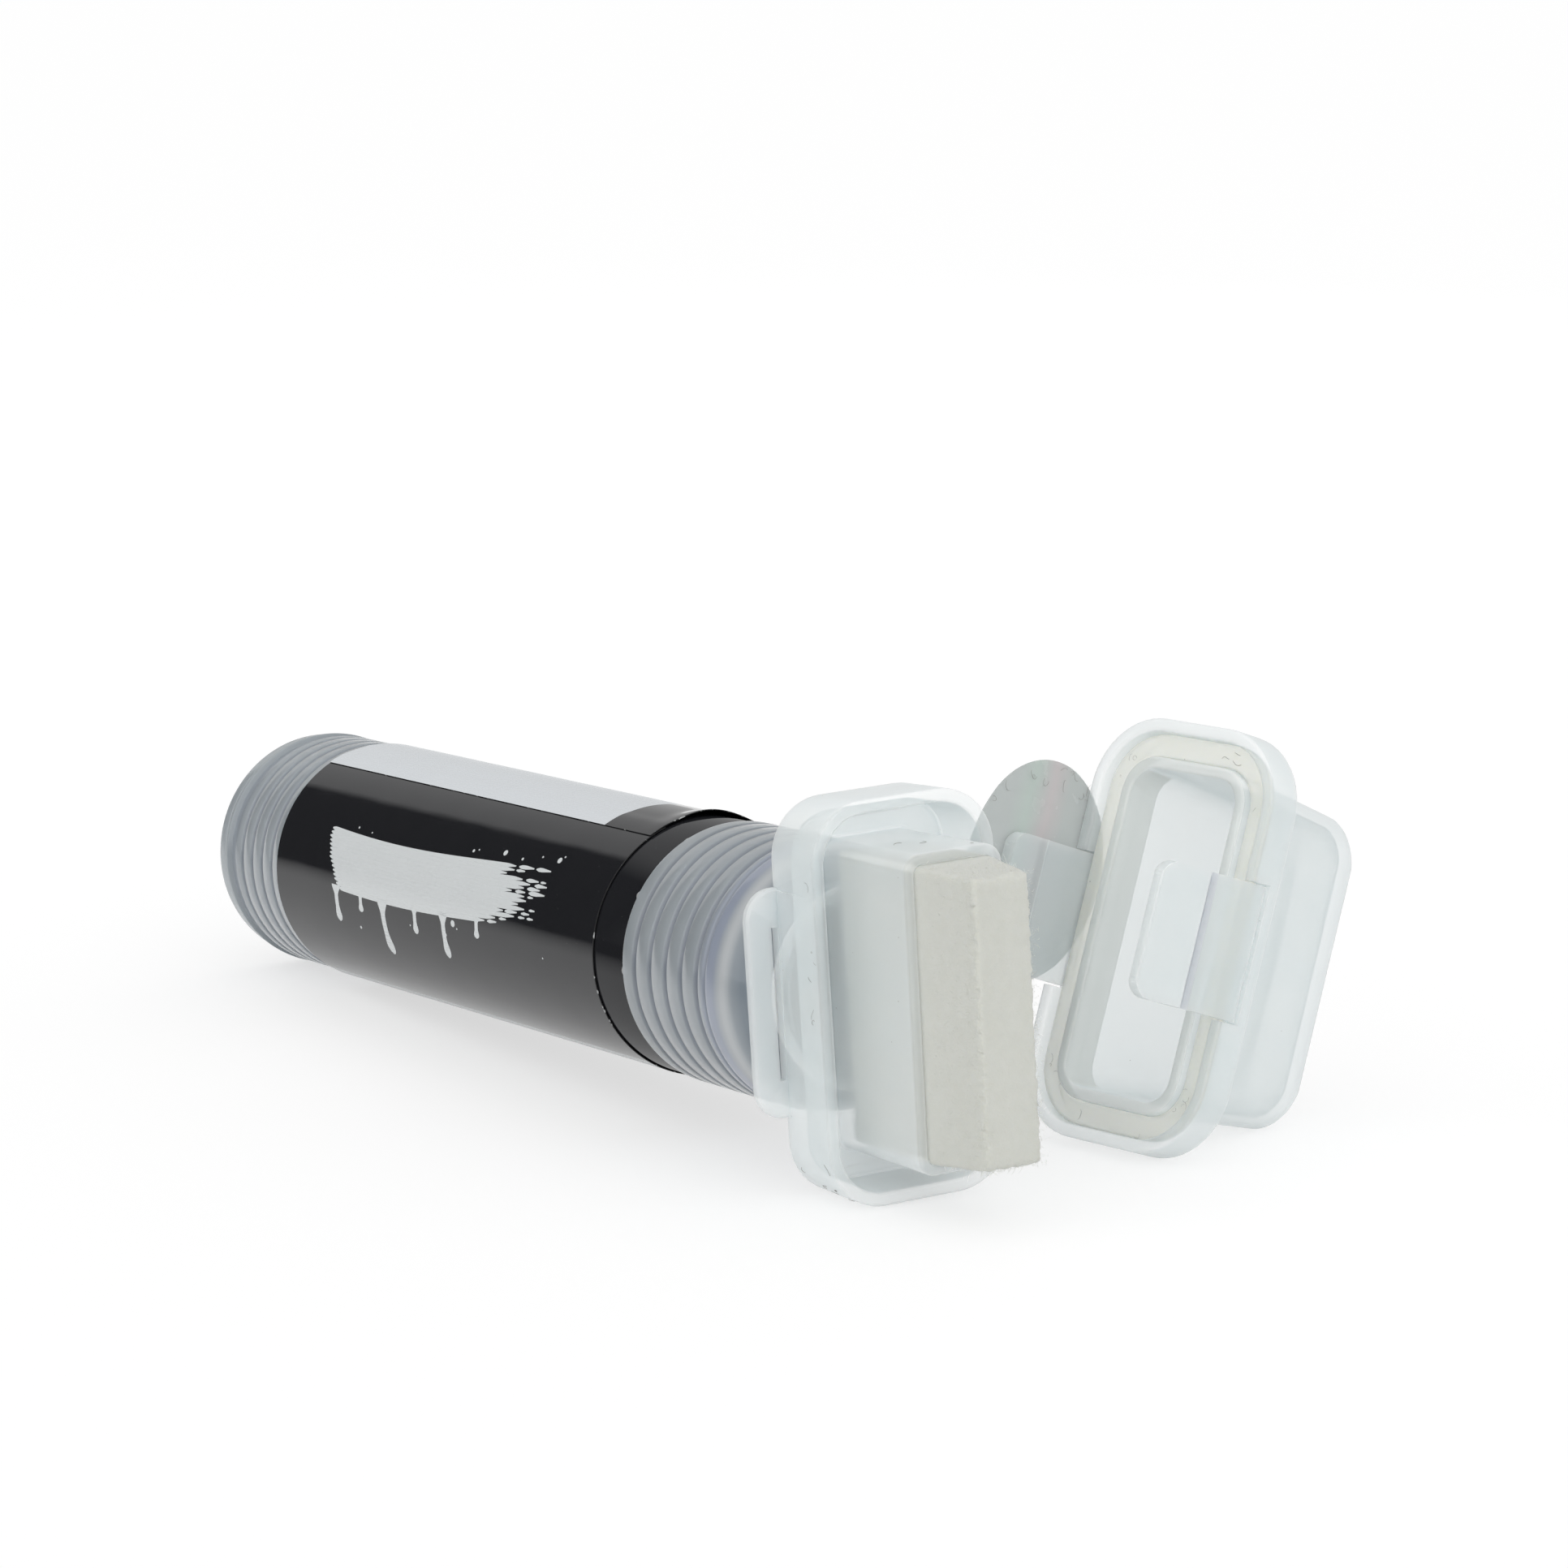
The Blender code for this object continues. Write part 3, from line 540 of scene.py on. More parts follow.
# barrel, a milky tube with soft rings at both ends
barrel = {
    "steps": 160, "rear": 3.6, "ribRadius": 19.0, "rearRadius": 18.6, "smoothRadius": 18.3, "bore": 16.7,
    "bandFront": 7.5, "labelRear": 24.06, "sleeveFront": 137.46, "shoulder": 162.32, "neckRear": 170.32,
    "lip": 172.12, "neckRadius": 15.0, "mouthRadius": 12.6, "mouthLength": 11.0, "shoulderSteps": 16,
    "rimRadius": 18.72, "rimBevel": 0.42, "rimLong": 1.2, "bandRadius": 18.0, "seatPlay": 0.3,
    "rearPitch": 3.6, "rearGrooves": 4, "frontPitch": 4.4, "frontGrooves": 5, "grooveDepth": 0.8,
    "grooveShare": 0.17, "grooveSteps": 6, "lastGroove": 161.35, "lastHalf": 0.5, "lastDepth": 0.35,
    # the groove tint and the neck tint are painted shade, in the grooves and on the shoulder near the neck
    "lastSteps": 4, "grooveShade": (0.29, 0.325, 0.40), "bandTint": (0.45, 0.495, 0.55), "bandSoft": 0.6,
    "bandFade": 1.2, "neckShade": (0.33, 0.385, 0.43), "neckFrom": 4.5, "neckFull": 6.5,
    # rise, full, fade and end of each tint, counted from the shoulder: a blue band and a pale edge, which is a
    # painted highlight
    "shoulderTintsAndHighlight": (((-3.0, -0.5, 1.0, 3.0), (0.52, 0.575, 0.70)),
                      ((1.5, 3.2, 3.8, 5.2), (0.82, 0.85, 0.86))),
}
barrel["rearStart"] = barrel["bandFront"] + 0.25 * barrel["rearPitch"]
barrel["frontStart"] = barrel["sleeveFront"] + 0.4 * barrel["frontPitch"]


def zoneMask(tree, along, rise, full, fade, gone):
    # 1 between two places along the barrel, fading on both sides
    up = remap(tree, along, rise * mm, full * mm, 0.0, 1.0)
    return arith(tree, "MULTIPLY", up, remap(tree, along, fade * mm, gone * mm, 1.0, 0.0))


def ringMask(tree, along, start, pitch, count):
    # 1 in the bottom of each ring groove, 0 on the bands between
    turn = arith(tree, "DIVIDE", arith(tree, "SUBTRACT", along, start * mm), pitch * mm)
    aside = arith(tree, "ABSOLUTE", arith(tree, "SUBTRACT", arith(tree, "FRACT", turn), 0.5))
    groove = remap(tree, aside, barrel["grooveShare"], 0.3 * barrel["grooveShare"], 0.0, 1.0)
    inside = arith(tree, "MULTIPLY", arith(tree, "GREATER_THAN", turn, 0.0),
                   arith(tree, "LESS_THAN", turn, count))
    return arith(tree, "MULTIPLY", groove, inside)


def tintAndShadeRings():
    # painted shade in the grooves and on the shoulder near the neck, a painted highlight as a pale edge on the
    # shoulder, and bluer bands behind the rear rim and on the shoulder
    b = barrel
    tree = tubeLook.node_tree
    colourIn = tree.nodes["Principled BSDF"].inputs["Base Color"]
    colour = colourIn.links[0].from_socket
    along = ownAxis(tree, "Z")
    grooves = arith(tree, "MAXIMUM", ringMask(tree, along, b["rearStart"], b["rearPitch"], b["rearGrooves"]),
                    ringMask(tree, along, b["frontStart"], b["frontPitch"], b["frontGrooves"]))
    last = zoneMask(tree, along, b["lastGroove"] - b["lastHalf"], b["lastGroove"], b["lastGroove"],
                    b["lastGroove"] + b["lastHalf"])
    bandRear = b["rear"] + b["rimLong"]
    zones = [((bandRear, bandRear + b["bandSoft"], b["bandFront"], b["bandFront"] + b["bandFade"]),
              b["bandTint"])]
    zones += [([b["shoulder"] + offset for offset in offsets], tint) for offsets, tint in b["shoulderTintsAndHighlight"]]
    for zone, tint in zones:
        colour = mixColour(tree, zoneMask(tree, along, *zone), colour, tint)
    # painted shade: the shoulder's front towards the neck is darker, for the shade it lies in
    neckFrom, neckFull = ((b["shoulder"] + b[key]) * mm for key in ("neckFrom", "neckFull"))
    colour = mixColour(tree, remap(tree, along, neckFrom, neckFull, 0.0, 1.0), colour, b["neckShade"])
    # painted shade: the grooves and the last ring line are darker, standing in for their shadow
    colour = mixColour(tree, arith(tree, "MAXIMUM", grooves, last), colour, b["grooveShade"])
    tree.links.new(colour, colourIn)


def softGroove(middle, half, radius, depth, steps):
    # one groove with a rounded bottom, as (radius, along) points
    path = []
    for step in range(-steps, steps + 1):
        dip = 0.5 + 0.5 * math.cos(math.pi * step / steps)
        path.append((radius - depth * dip, middle + half * step / steps))
    return path


def ringGrooves(start, pitch, count, radius):
    path = []
    for index in range(count):
        path += softGroove(start + pitch * (index + 0.5), pitch * barrel["grooveShare"], radius,
                           barrel["grooveDepth"], barrel["grooveSteps"])
    return path


def makeBarrel():
    b = barrel
    outer = softPath([
        (b["bore"], b["rear"], 0), (b["rimRadius"] - b["rimBevel"], b["rear"], 0.3),
        (b["rimRadius"], b["rear"] + 0.6, 0.3), (b["rimRadius"], b["rear"] + b["rimLong"], 0.2),
        (b["bandRadius"], b["rear"] + b["rimLong"] + 0.3, 0.2), (b["bandRadius"], b["bandFront"] - 0.3, 0.25),
        (b["rearRadius"], b["bandFront"] + 0.2, 0.3), (b["rearRadius"], b["bandFront"] + 0.6, 0)])
    outer += ringGrooves(b["rearStart"], b["rearPitch"], b["rearGrooves"], b["rearRadius"])
    outer += softPath([
        (b["rearRadius"], b["labelRear"] - 0.9, 0), (b["rearRadius"], b["labelRear"] - 0.5, 0.15),
        (b["smoothRadius"], b["labelRear"] - b["seatPlay"], 0.1),
        (b["smoothRadius"], b["sleeveFront"] + b["seatPlay"], 0.15),
        (b["ribRadius"], b["sleeveFront"] + 0.6, 0.3), (b["ribRadius"], b["sleeveFront"] + 1.1, 0)])
    outer += ringGrooves(b["frontStart"], b["frontPitch"], b["frontGrooves"], b["ribRadius"])
    outer += softGroove(b["lastGroove"], b["lastHalf"], b["ribRadius"], b["lastDepth"], b["lastSteps"])
    for step in range(b["shoulderSteps"] + 1):
        turn = math.radians(90) * step / b["shoulderSteps"]
        outer.append((b["neckRadius"] + (b["ribRadius"] - b["neckRadius"]) * math.cos(turn),
                      b["shoulder"] + (b["neckRear"] - b["shoulder"]) * math.sin(turn)))
    outer += softPath([
        (b["neckRadius"], b["lip"] - 0.6, 0), (b["neckRadius"], b["lip"], 0.3),
        (b["mouthRadius"], b["lip"], 0.3), (b["mouthRadius"], b["lip"] - b["mouthLength"], 0.5),
        (b["bore"] - 0.8, b["shoulder"] - 1.5, 1.0), (b["bore"], b["shoulder"] - 4.0, 1.0),
        (b["bore"], b["shoulder"] - 8.0, 0)])
    place(turnMesh(outer, b["steps"]), "barrelTube", markerHome, tubeLook, "barrel_body",
          ["barrel"])


tintAndShadeRings()
makeBarrel()

# base plug, pressed into the rear of the barrel
basePlug = {
    "rim": 18.3, "rimStart": 1.0, "rimHeight": 3.3, "foot": 17.3, "footWidth": 3.0,
    "depth": baseFace["depth"], "hub": 0.5, "spigot": 16.4, "inner": 14.9, "spigotEnd": 9.0, "floor": 2.2,
}


def makePlug():
    p = basePlug
    profile = [(0, p["depth"])] + softPath([
        (p["hub"], p["depth"], 0), (p["foot"] - p["footWidth"] - p["depth"], p["depth"], 0.4),
        (p["foot"] - p["footWidth"], 0, 0.3), (p["foot"], 0, 0.5), (p["rim"], p["rimStart"], 0.6),
        (p["rim"], p["rimHeight"], 0.2), (p["spigot"], p["rimHeight"], 0.2),
        (p["spigot"], p["spigotEnd"], 0.3), (p["inner"], p["spigotEnd"], 0.3), (p["inner"], p["floor"], 0.5),
        (p["hub"], p["floor"], 0)])
    profile.append((0, p["floor"]))
    place(turnMesh(profile, barrel["steps"], closed=False), "basePlug", markerHome, tubeLook, "barrel_body",
          ["base_plug"])


makePlug()

# black under-sleeve, which shows in front of the label
underSleeve = {
    "inner": 18.45, "outer": 18.65, "rear": barrel["labelRear"], "front": barrel["sleeveFront"], "edge": 0.08,
}


def makeSleeve():
    s = underSleeve
    corners = ((s["outer"], s["rear"]), (s["outer"], s["front"]), (s["inner"], s["front"]),
               (s["inner"], s["rear"]))
    profile = softPath([(*corner, s["edge"]) for corner in corners], closed=True, steps=2)
    place(turnMesh(profile, barrel["steps"]), "underSleeve", markerHome, blackLook, "barrel_body",
          ["under_sleeve"])


makeSleeve()

# printed label: one sheet wound once round, its start lying over its end
label = {
    "rear": barrel["labelRear"], "front": 129.26, "outer": 18.96, "thick": 0.12, "seam": -28.0,
    "overlap": 8.0, "overlapSoft": 7.0, "step": 0.14, "panelFront": 115.5, "panelEnd": 64.0,
    "marginStart": 204.0, "marginEnd": 213.0, "cutWide": 0.16, "lift": 0.75, "liftWide": 17.0, "liftAt": 3.0,
    "liftLong": 7.0, "ripple": 0.018, "rippleLong": 9.0, "rippleRound": 2.1, "rippleDrift": 0.004,
    "spacing": 1.0, "turnSpacing": 1.6,
}


def spread(stops, spacing):
    # values from stop to stop at about the given spacing
    values = [stops[0]]
    for low, high in zip(stops, stops[1:]):
        count = max(1, round((high - low) / spacing))
        values += [low + (high - low) * (k + 1) / count for k in range(count)]
    return values


def labelRadius(along, angle):
    # the sheet steps up over its own end, lifts at its front edge and ripples a little
    k = label
    turned = angle - k["seam"]
    over = 1 - smoothStep(k["overlap"], k["overlap"] + k["overlapSoft"], turned)
    near = ((angle + 180) % 360 - 180 - k["liftAt"]) / k["liftWide"]
    lift = k["lift"] * smoothStep(k["front"] - k["liftLong"], k["front"], along) ** 2
    lift *= math.exp(-near * near) if turned < 180 else 0.0
    turn = math.radians(angle)
    x, y = k["rippleRound"] * math.cos(turn), k["rippleRound"] * math.sin(turn)
    ripple = noise.noise((along / k["rippleLong"], x, y + k["rippleDrift"] * angle))
    return k["outer"] + k["step"] * over + lift + k["ripple"] * ripple


def makeLabel():
    k = label
    alongs = spread([k["rear"], k["panelFront"], k["front"] - k["cutWide"], k["front"]], k["spacing"])
    angles = spread([k["seam"], k["panelEnd"], k["marginStart"], k["marginEnd"],
                     k["seam"] + 360 + k["overlap"]],
                    k["turnSpacing"])
    black, panel, margin, cut = range(4)  # in the order of the looks below
    near = 1e-6
    bm = bmesh.new()
    skins = []
    for drop in (0.0, k["thick"]):
        skins.append([[bm.verts.new(onTube(z, a, labelRadius(z, a) - drop)) for a in angles] for z in alongs])
    outer, inner = skins
    rows, columns = len(alongs), len(angles)
    for i in range(rows - 1):
        for j in range(columns - 1):
            face = bm.faces.new((outer[i][j], outer[i][j + 1], outer[i + 1][j + 1], outer[i + 1][j]))
            onPanel = alongs[i + 1] <= k["panelFront"] + near and angles[j + 1] <= k["panelEnd"] + near
            onMargin = angles[j] >= k["marginStart"] - near and angles[j + 1] <= k["marginEnd"] + near
            face.material_index = (cut if i == rows - 2 else panel if onPanel
                                   else margin if onMargin else black)
            bm.faces.new((inner[i][j], inner[i + 1][j], inner[i + 1][j + 1], inner[i][j + 1]))
    for i in range(rows - 1):
        for j in (0, columns - 1):
            face = bm.faces.new((outer[i][j], outer[i + 1][j], inner[i + 1][j], inner[i][j]))
            face.material_index = cut
    for j in range(columns - 1):
        for i in (0, rows - 1):
            face = bm.faces.new((outer[i][j], outer[i][j + 1], inner[i][j + 1], inner[i][j]))
            face.material_index = cut
    place(bm, "wrapLabel", markerHome, [labelLook, silverLook, whiteLook, cutLook], "barrel_body",
          ["wrap_label"])


makeLabel()

# print on the label: one broad dry-brush stroke of white with drips and a few spatters
labelPrint = {
    "height": 0.03, "foot": -0.01, "spacing": 0.6, "top": 19.6, "arch": 1.1, "archFrom": 0.15,
    "archLong": 1.1, "bristles": 15, "bristle": 0.62, "bristleSpacing": 0.8, "thinStart": 0.9, "thinEnd": 2.5,
    "strokeStart": 39.5, "strokeEnd": 108.0, "slope": 0.42, "startJitter": 0.5, "startRound": 1.2,
    "endRound": 3.0, "fade": 10.0, "streaks": (0, 1, 1, 2), "streakGap": (0.5, 1.6), "streakLong": (1.5, 5.0),
    "seed": 11, "spatters": 16, "spatterSteps": 14, "spatterSmall": 0.16, "spatterGrow": 0.5,
    "spatterFlat": 0.85, "spatterAbove": (0.8, 2.6), "spatterBelow": (0.8, 6.0), "spatterFrom": 4.0,
    "spatterPast": 6.0,
    # place along the label, length and half width of each run
    "drips": ((45.5, 5.2, 0.95), (54.0, 2.4, 0.8), (61.5, 8.4, 1.15), (72.5, 3.6, 0.85), (82.0, 6.6, 1.0),
              (93.0, 2.6, 0.8)),
    "dripSteps": 24,
}


def printPoint(along, around, height):
    # the label rolled flat: around is mm of arc down from the top on the camera's side
    angle = -math.degrees(around / label["outer"])
    return onTube(along, angle, labelRadius(along, angle + (360 if angle < label["seam"] else 0)) + height)


def stampStrip(bm, pairs):
    # a thin raised strip of ink between pairs of (along, around) spots
    widest = max((Vector(second) - Vector(first)).length for first, second in pairs)
    across = max(1, math.ceil(widest / labelPrint["spacing"]))
    rings = []
    for first, second in pairs:
        rows = [Vector(first).lerp(Vector(second), k / across) for k in range(across + 1)]
        loop = ([(spot, labelPrint["height"]) for spot in rows]
                + [(spot, labelPrint["foot"]) for spot in rows[::-1]])
        rings.append([bm.verts.new(printPoint(*spot, height)) for spot, height in loop])
    bridgeAll(bm, rings, (0, -1))


def strokeLine(along):
    # how far round the stroke's upper edge lies
    p = labelPrint
    share = (along - p["strokeStart"]) / (p["strokeEnd"] - p["strokeStart"])
    return p["top"] + p["arch"] * math.sin(math.pi * (p["archFrom"] + p["archLong"] * share))


def stampBristle(bm, row, start, end):
    # one bristle's mark, thin at both of its ends
    p = labelPrint
    count = max(3, round((end - start) / p["bristleSpacing"]))
    pairs = []
    for step in range(count + 1):
        along = start + (end - start) * step / count
        taper = max(1 - (along - start) / p["thinStart"], 1 - (end - along) / p["thinEnd"], 0)
        thin = 0.5 * p["bristle"] * (1.06 - 0.75 * taper)
        middle = strokeLine(along) + (row + 0.5) * p["bristle"]
        pairs.append(((along, middle - thin), (along, middle + thin)))
    stampStrip(bm, pairs)


def stampDrip(bm, along, length, half):
    # a run of paint: wide where it leaves the stroke, narrow, with a round drop at its end
    p = labelPrint
    top = strokeLine(along) + (p["bristles"] - 1) * p["bristle"]
    pairs = []
    for step in range(p["dripSteps"] + 1):
        share = step / p["dripSteps"]
        wide = half * (0.62 + 0.9 * (1 - smoothStep(0.0, 0.28, share)) + 0.38 * smoothStep(0.55, 0.85, share))
        wide *= math.sqrt(max(0.02, 1 - max(0.0, (share - 0.82) / 0.18) ** 2))
        around = top + (length + p["bristle"]) * share
        pairs.append(((along - wide, around), (along + wide, around)))
    stampStrip(bm, pairs)


def makePrint():
    p = labelPrint
    chance = random.Random(p["seed"])
    bm = bmesh.new()
    for row in range(p["bristles"]):
        edge = abs(row - 0.5 * (p["bristles"] - 1)) / (0.5 * p["bristles"])
        start = (p["strokeStart"] + p["slope"] * row + chance.uniform(0, p["startJitter"])
                 + p["startRound"] * edge ** 3)
        end = p["strokeEnd"] - p["fade"] * chance.random() ** 1.5 - p["endRound"] * edge ** 2
        stampBristle(bm, row, start, end)
        spot = end
        for streak in range(chance.choice(p["streaks"])):
            spot += chance.uniform(*p["streakGap"])
            length = chance.uniform(*p["streakLong"])
            stampBristle(bm, row, spot, spot + length)
            spot += length
    for along, length, half in p["drips"]:
        stampDrip(bm, along, length, half)
    for spatter in range(p["spatters"]):
        size = p["spatterSmall"] + p["spatterGrow"] * chance.random() ** 3
        along = chance.uniform(p["strokeStart"] + p["spatterFrom"], p["strokeEnd"] + p["spatterPast"])
        if chance.random() < 0.5:
            around = strokeLine(along) - chance.uniform(*p["spatterAbove"])
        else:
            around = strokeLine(along) + p["bristles"] * p["bristle"] + chance.uniform(*p["spatterBelow"])
        rim = [(size * math.cos(t), p["spatterFlat"] * size * math.sin(t))
               for t in turnSteps(p["spatterSteps"])]
        rings = [[bm.verts.new(printPoint(along + a, around + b, height)) for a, b in rim]
                 for height in (p["height"], p["foot"])]
        bridgeAll(bm, rings, (0, -1))
    place(bm, "labelPrint", markerHome, whiteLook, "barrel_body")


makePrint()

# soft seal between the barrel's lip and the head
neckSeal = {"inner": 12.9, "outer": 14.7, "rear": 172.42, "thick": 0.7, "edge": 0.2, "steps": 96}


def makeNeckSeal():
    n = neckSeal
    front = n["rear"] + n["thick"]
    corners = ((n["inner"], n["rear"]), (n["outer"], n["rear"]), (n["outer"], front), (n["inner"], front))
    profile = softPath([(*corner, n["edge"]) for corner in corners], closed=True)
    place(turnMesh(profile, n["steps"]), "neckSeal", markerHome, greySealLook, "neck_body",
          ["neck_gasket"])


makeNeckSeal()

# head, one moulding: deep rim, recess, nib holder, ears with slots and a hollow spigot
head = {
    "halfHigh": 27.97, "halfWide": 14.45, "corner": 8.5, "rear": 173.42, "floor": 175.32, "front": 185.42,
    "draft": 0.4, "rimWall": 1.9, "edge": 0.55, "pocketHigh": 20.4, "pocketWide": 6.15, "pocketCorner": 1.4,
    "pocketFloor": 177.62, "holderFront": 197.82, "holderWall": 1.55, "flare": 0.4, "foot": 0.9, "slant": 0.3,
    "feedHigh": 8.5, "feedWide": 2.6, "feedFloor": 0.76, "spigotRadius": 12.3, "boreRadius": 10.4,
    "spigotLength": 9.5, "earWide": 19.2, "earHigh": 15.9, "earCorner": 4.3, "earThick": 1.6, "earStep": 0.15,
    "earBevel": 0.3, "earSoft": 0.35, "earPlay": 0.3, "padLong": 9.5, "slotThick": 1.0, "slotHigh": 10.6,
    "slotGap": 0.1, "slotReach": 6.0, "roll": 2.3,
}
# the head is screwed on a little askew
headHome = markerHome @ Matrix.Rotation(math.radians(head["roll"]), 4, "Z")


def makeHead():
    h = head
    count = 4 * cornerSteps

    def rim(inset, along):
        return level(roundRect(h["halfHigh"] - inset, h["halfWide"] - inset, h["corner"] - inset), along)

    def sleeve(grow, along):
        slant = h["slant"] * smoothStep(h["floor"], h["holderFront"], along)
        points = roundRect(h["pocketHigh"] + grow, h["pocketWide"] + grow, h["pocketCorner"] + 0.8 * grow)
        return [(x, y, along - slant * x / h["pocketHigh"]) for x, y in points]

    feed = roundRect(h["feedHigh"], h["feedWide"], 0.9 * h["feedWide"])
    under = h["rear"] + h["feedFloor"]
    holder = softPath([
        (0, h["pocketFloor"], 0), (0, h["holderFront"], 0.5), (h["holderWall"], h["holderFront"], 0.7),
        (h["holderWall"] - h["flare"], h["floor"], h["foot"] * 1.6),
        (h["holderWall"] + 2.2, h["floor"], 0)], steps=5)
    edge = softPath([
        (h["rimWall"] + h["draft"] + 1.6, h["floor"], 0), (h["rimWall"] + h["draft"], h["floor"], 1.0),
        (h["rimWall"], h["front"], h["edge"]), (0, h["front"], h["edge"]), (h["draft"], h["rear"], 0.9),
        (h["draft"] + 1.6, h["rear"], 0)], steps=5)
    sections = [level(feed, under), level(feed, h["pocketFloor"])]
    sections += [sleeve(grow, along) for grow, along in holder]
    sections += [rim(inset, along) for inset, along in edge]
    for radius, along in ((h["spigotRadius"], h["rear"]), (h["spigotRadius"], h["rear"] - h["spigotLength"]),
                          (h["boreRadius"], h["rear"] - h["spigotLength"]), (h["boreRadius"], under)):
        sections.append(level(ringPoints(radius, count), along))
    # both ears are one plate round the spigot
    rear = h["rear"] + h["earStep"]
    front = rear + h["earThick"]
    plate = ((h["earBevel"], rear), (0, rear + h["earSoft"]), (0, front - h["earSoft"]),
             (h["earBevel"], front))
    ears = [level(roundRect(h["earHigh"] - inset, h["earWide"] - inset, h["earCorner"]), along)
            for inset, along in plate]
    ears += [level(ringPoints(h["spigotRadius"] + h["earPlay"], count), along) for along in (front, rear)]
    # pads close the rim's long sides down to the ears, and a slot goes through each ear beside its pad
    padOuter = h["halfWide"] - h["draft"] / 7
    padHalf = 0.5 * (padOuter - h["halfWide"] + h["draft"] + 0.6 * h["rimWall"])
    helpers = [(skinMesh(ears, ring=True), "UNION")]
    for side in (1, -1):
        middle = (0, side * (padOuter - padHalf), h["rear"] + 0.5 * (h["padLong"] + h["earThick"]))
        helpers.append((boxMesh(h["earHigh"] - h["earBevel"], padHalf, 0.5 * h["padLong"], middle), "UNION"))
    for side in (1, -1):
        middle = (0, side * (padOuter + h["slotGap"] + 0.5 * h["slotThick"]), h["rear"])
        helpers.append((boxMesh(h["slotHigh"], 0.5 * h["slotThick"], h["slotReach"], middle), "DIFFERENCE"))
    place(skinMesh(sections, ring=True), "headMoulding", headHome, milkyLook, "head_body",
          ["head"], helpers=helpers)


makeHead()

# felt nib: a soft block with ragged front edges and loose fibres
nib = {
    "halfHigh": 20.3, "halfWide": 6.05, "rear": 177.92, "holderFront": head["holderFront"], "front": 209.52,
    "taperHigh": 0.6, "taperWide": 1.75, "slant": 0.4, "corner": 0.7, "spacing": 0.42, "fuzz": 0.06,
    "looseFrom": 0.2, "looseFull": 2.0, "ragged": 0.30, "raggedLong": 2.2, "fineTear": 0.7,
    "fibres": 2200, "seed": 5, "fibreFrom": 0.5, "frontShare": 0.30, "flatShare": 0.22, "rooted": 0.05,
    "frontRooted": 0.35, "fibreLong": (0.35, 1.1), "frontShort": 0.75, "fibreThick": (0.012, 0.026),
}


def fineBlock(low, high, spacing):
    # a closed box of small square faces
    bm = bmesh.new()
    for axis in range(3):
        u, v = (axis + 1) % 3, (axis + 2) % 3
        countU = max(1, round((high[u] - low[u]) / spacing))
        countV = max(1, round((high[v] - low[v]) / spacing))
        for edge in (low[axis], high[axis]):
            grid = []
            for i in range(countU + 1):
                grid.append([])
                for j in range(countV + 1):
                    spot = [0.0, 0.0, 0.0]
                    spot[axis] = edge
                    spot[u] = low[u] + (high[u] - low[u]) * i / countU
                    spot[v] = low[v] + (high[v] - low[v]) * j / countV
                    grid[i].append(bm.verts.new(spot))
            for i in range(countU):
                for j in range(countV):
                    bm.faces.new((grid[i][j], grid[i + 1][j], grid[i + 1][j + 1], grid[i][j + 1]))
    bmesh.ops.remove_doubles(bm, verts=bm.verts, dist=1e-4)
    return bm


def nibShape(spot):
    # soft edges, taper and slant of the felt, before its wool is roughened
    n = nib
    low = Vector((-n["halfHigh"], -n["halfWide"], n["rear"]))
    high = Vector((n["halfHigh"], n["halfWide"], n["front"]))
    core = Vector([min(max(spot[k], low[k] + n["corner"]), high[k] - n["corner"]) for k in range(3)])
    away = Vector(spot) - core
    if away.length > 0:
        core += away.normalized() * n["corner"]
    share = min(1.0, max(0.0, (core.z - n["holderFront"]) / (n["front"] - n["holderFront"])))
    core.x *= 1 - n["taperHigh"] / n["halfHigh"] * share
    core.y *= 1 - n["taperWide"] / n["halfWide"] * share
    core.z -= n["slant"] * share * core.x / n["halfHigh"]
    return core


def makeNib():
    n = nib
    noise.seed_set(n["seed"])
    low = (-n["halfHigh"], -n["halfWide"], n["rear"])
    high = (n["halfHigh"], n["halfWide"], n["front"])
    bm = fineBlock(low, high, n["spacing"])
    for vert in bm.verts:
        spot = vert.co.copy()
        here = nibShape(spot)
        loose = smoothStep(n["holderFront"] + n["looseFrom"], n["holderFront"] + n["looseFull"], here.z)
        edges = (abs(spot.x) / n["halfHigh"]) ** 60 + (abs(spot.y) / n["halfWide"]) ** 16
        tip = smoothStep(n["front"] - n["raggedLong"], n["front"], spot.z) * min(1.0, edges)
        wool = noise.noise_vector(here * 1.7) * n["fuzz"] + noise.noise_vector(here * 0.5) * n["fuzz"]
        torn = noise.noise_vector(Vector((here.x * 1.1, here.y * 0.8, 7.0))) * n["ragged"]
        torn += noise.noise_vector(Vector((here.x * 3.3, here.y * 1.4, 2.0))) * n["ragged"] * n["fineTear"]
        torn.z = -abs(torn.z)
        vert.co = here + wool * loose + torn * tip
    place(bm, "feltNib", headHome, feltLook, "nib_body", ["felt_nib"], sharpAngle=180)


def addThread(bm, points, radius, sides=4):
    # a thin closed tube along the points
    rings = []
    for k, here in enumerate(points):
        ahead = points[min(k + 1, len(points) - 1)] - points[max(k - 1, 0)]
        turn = ahead.to_track_quat("Z", "Y")
        thin = radius * (0.45 if k == len(points) - 1 else 1.0)
        rings.append([bm.verts.new(here + turn @ Vector((thin * math.cos(t), thin * math.sin(t), 0)))
                      for t in turnSteps(sides)])
    bridgeAll(bm, rings, (0, -1))


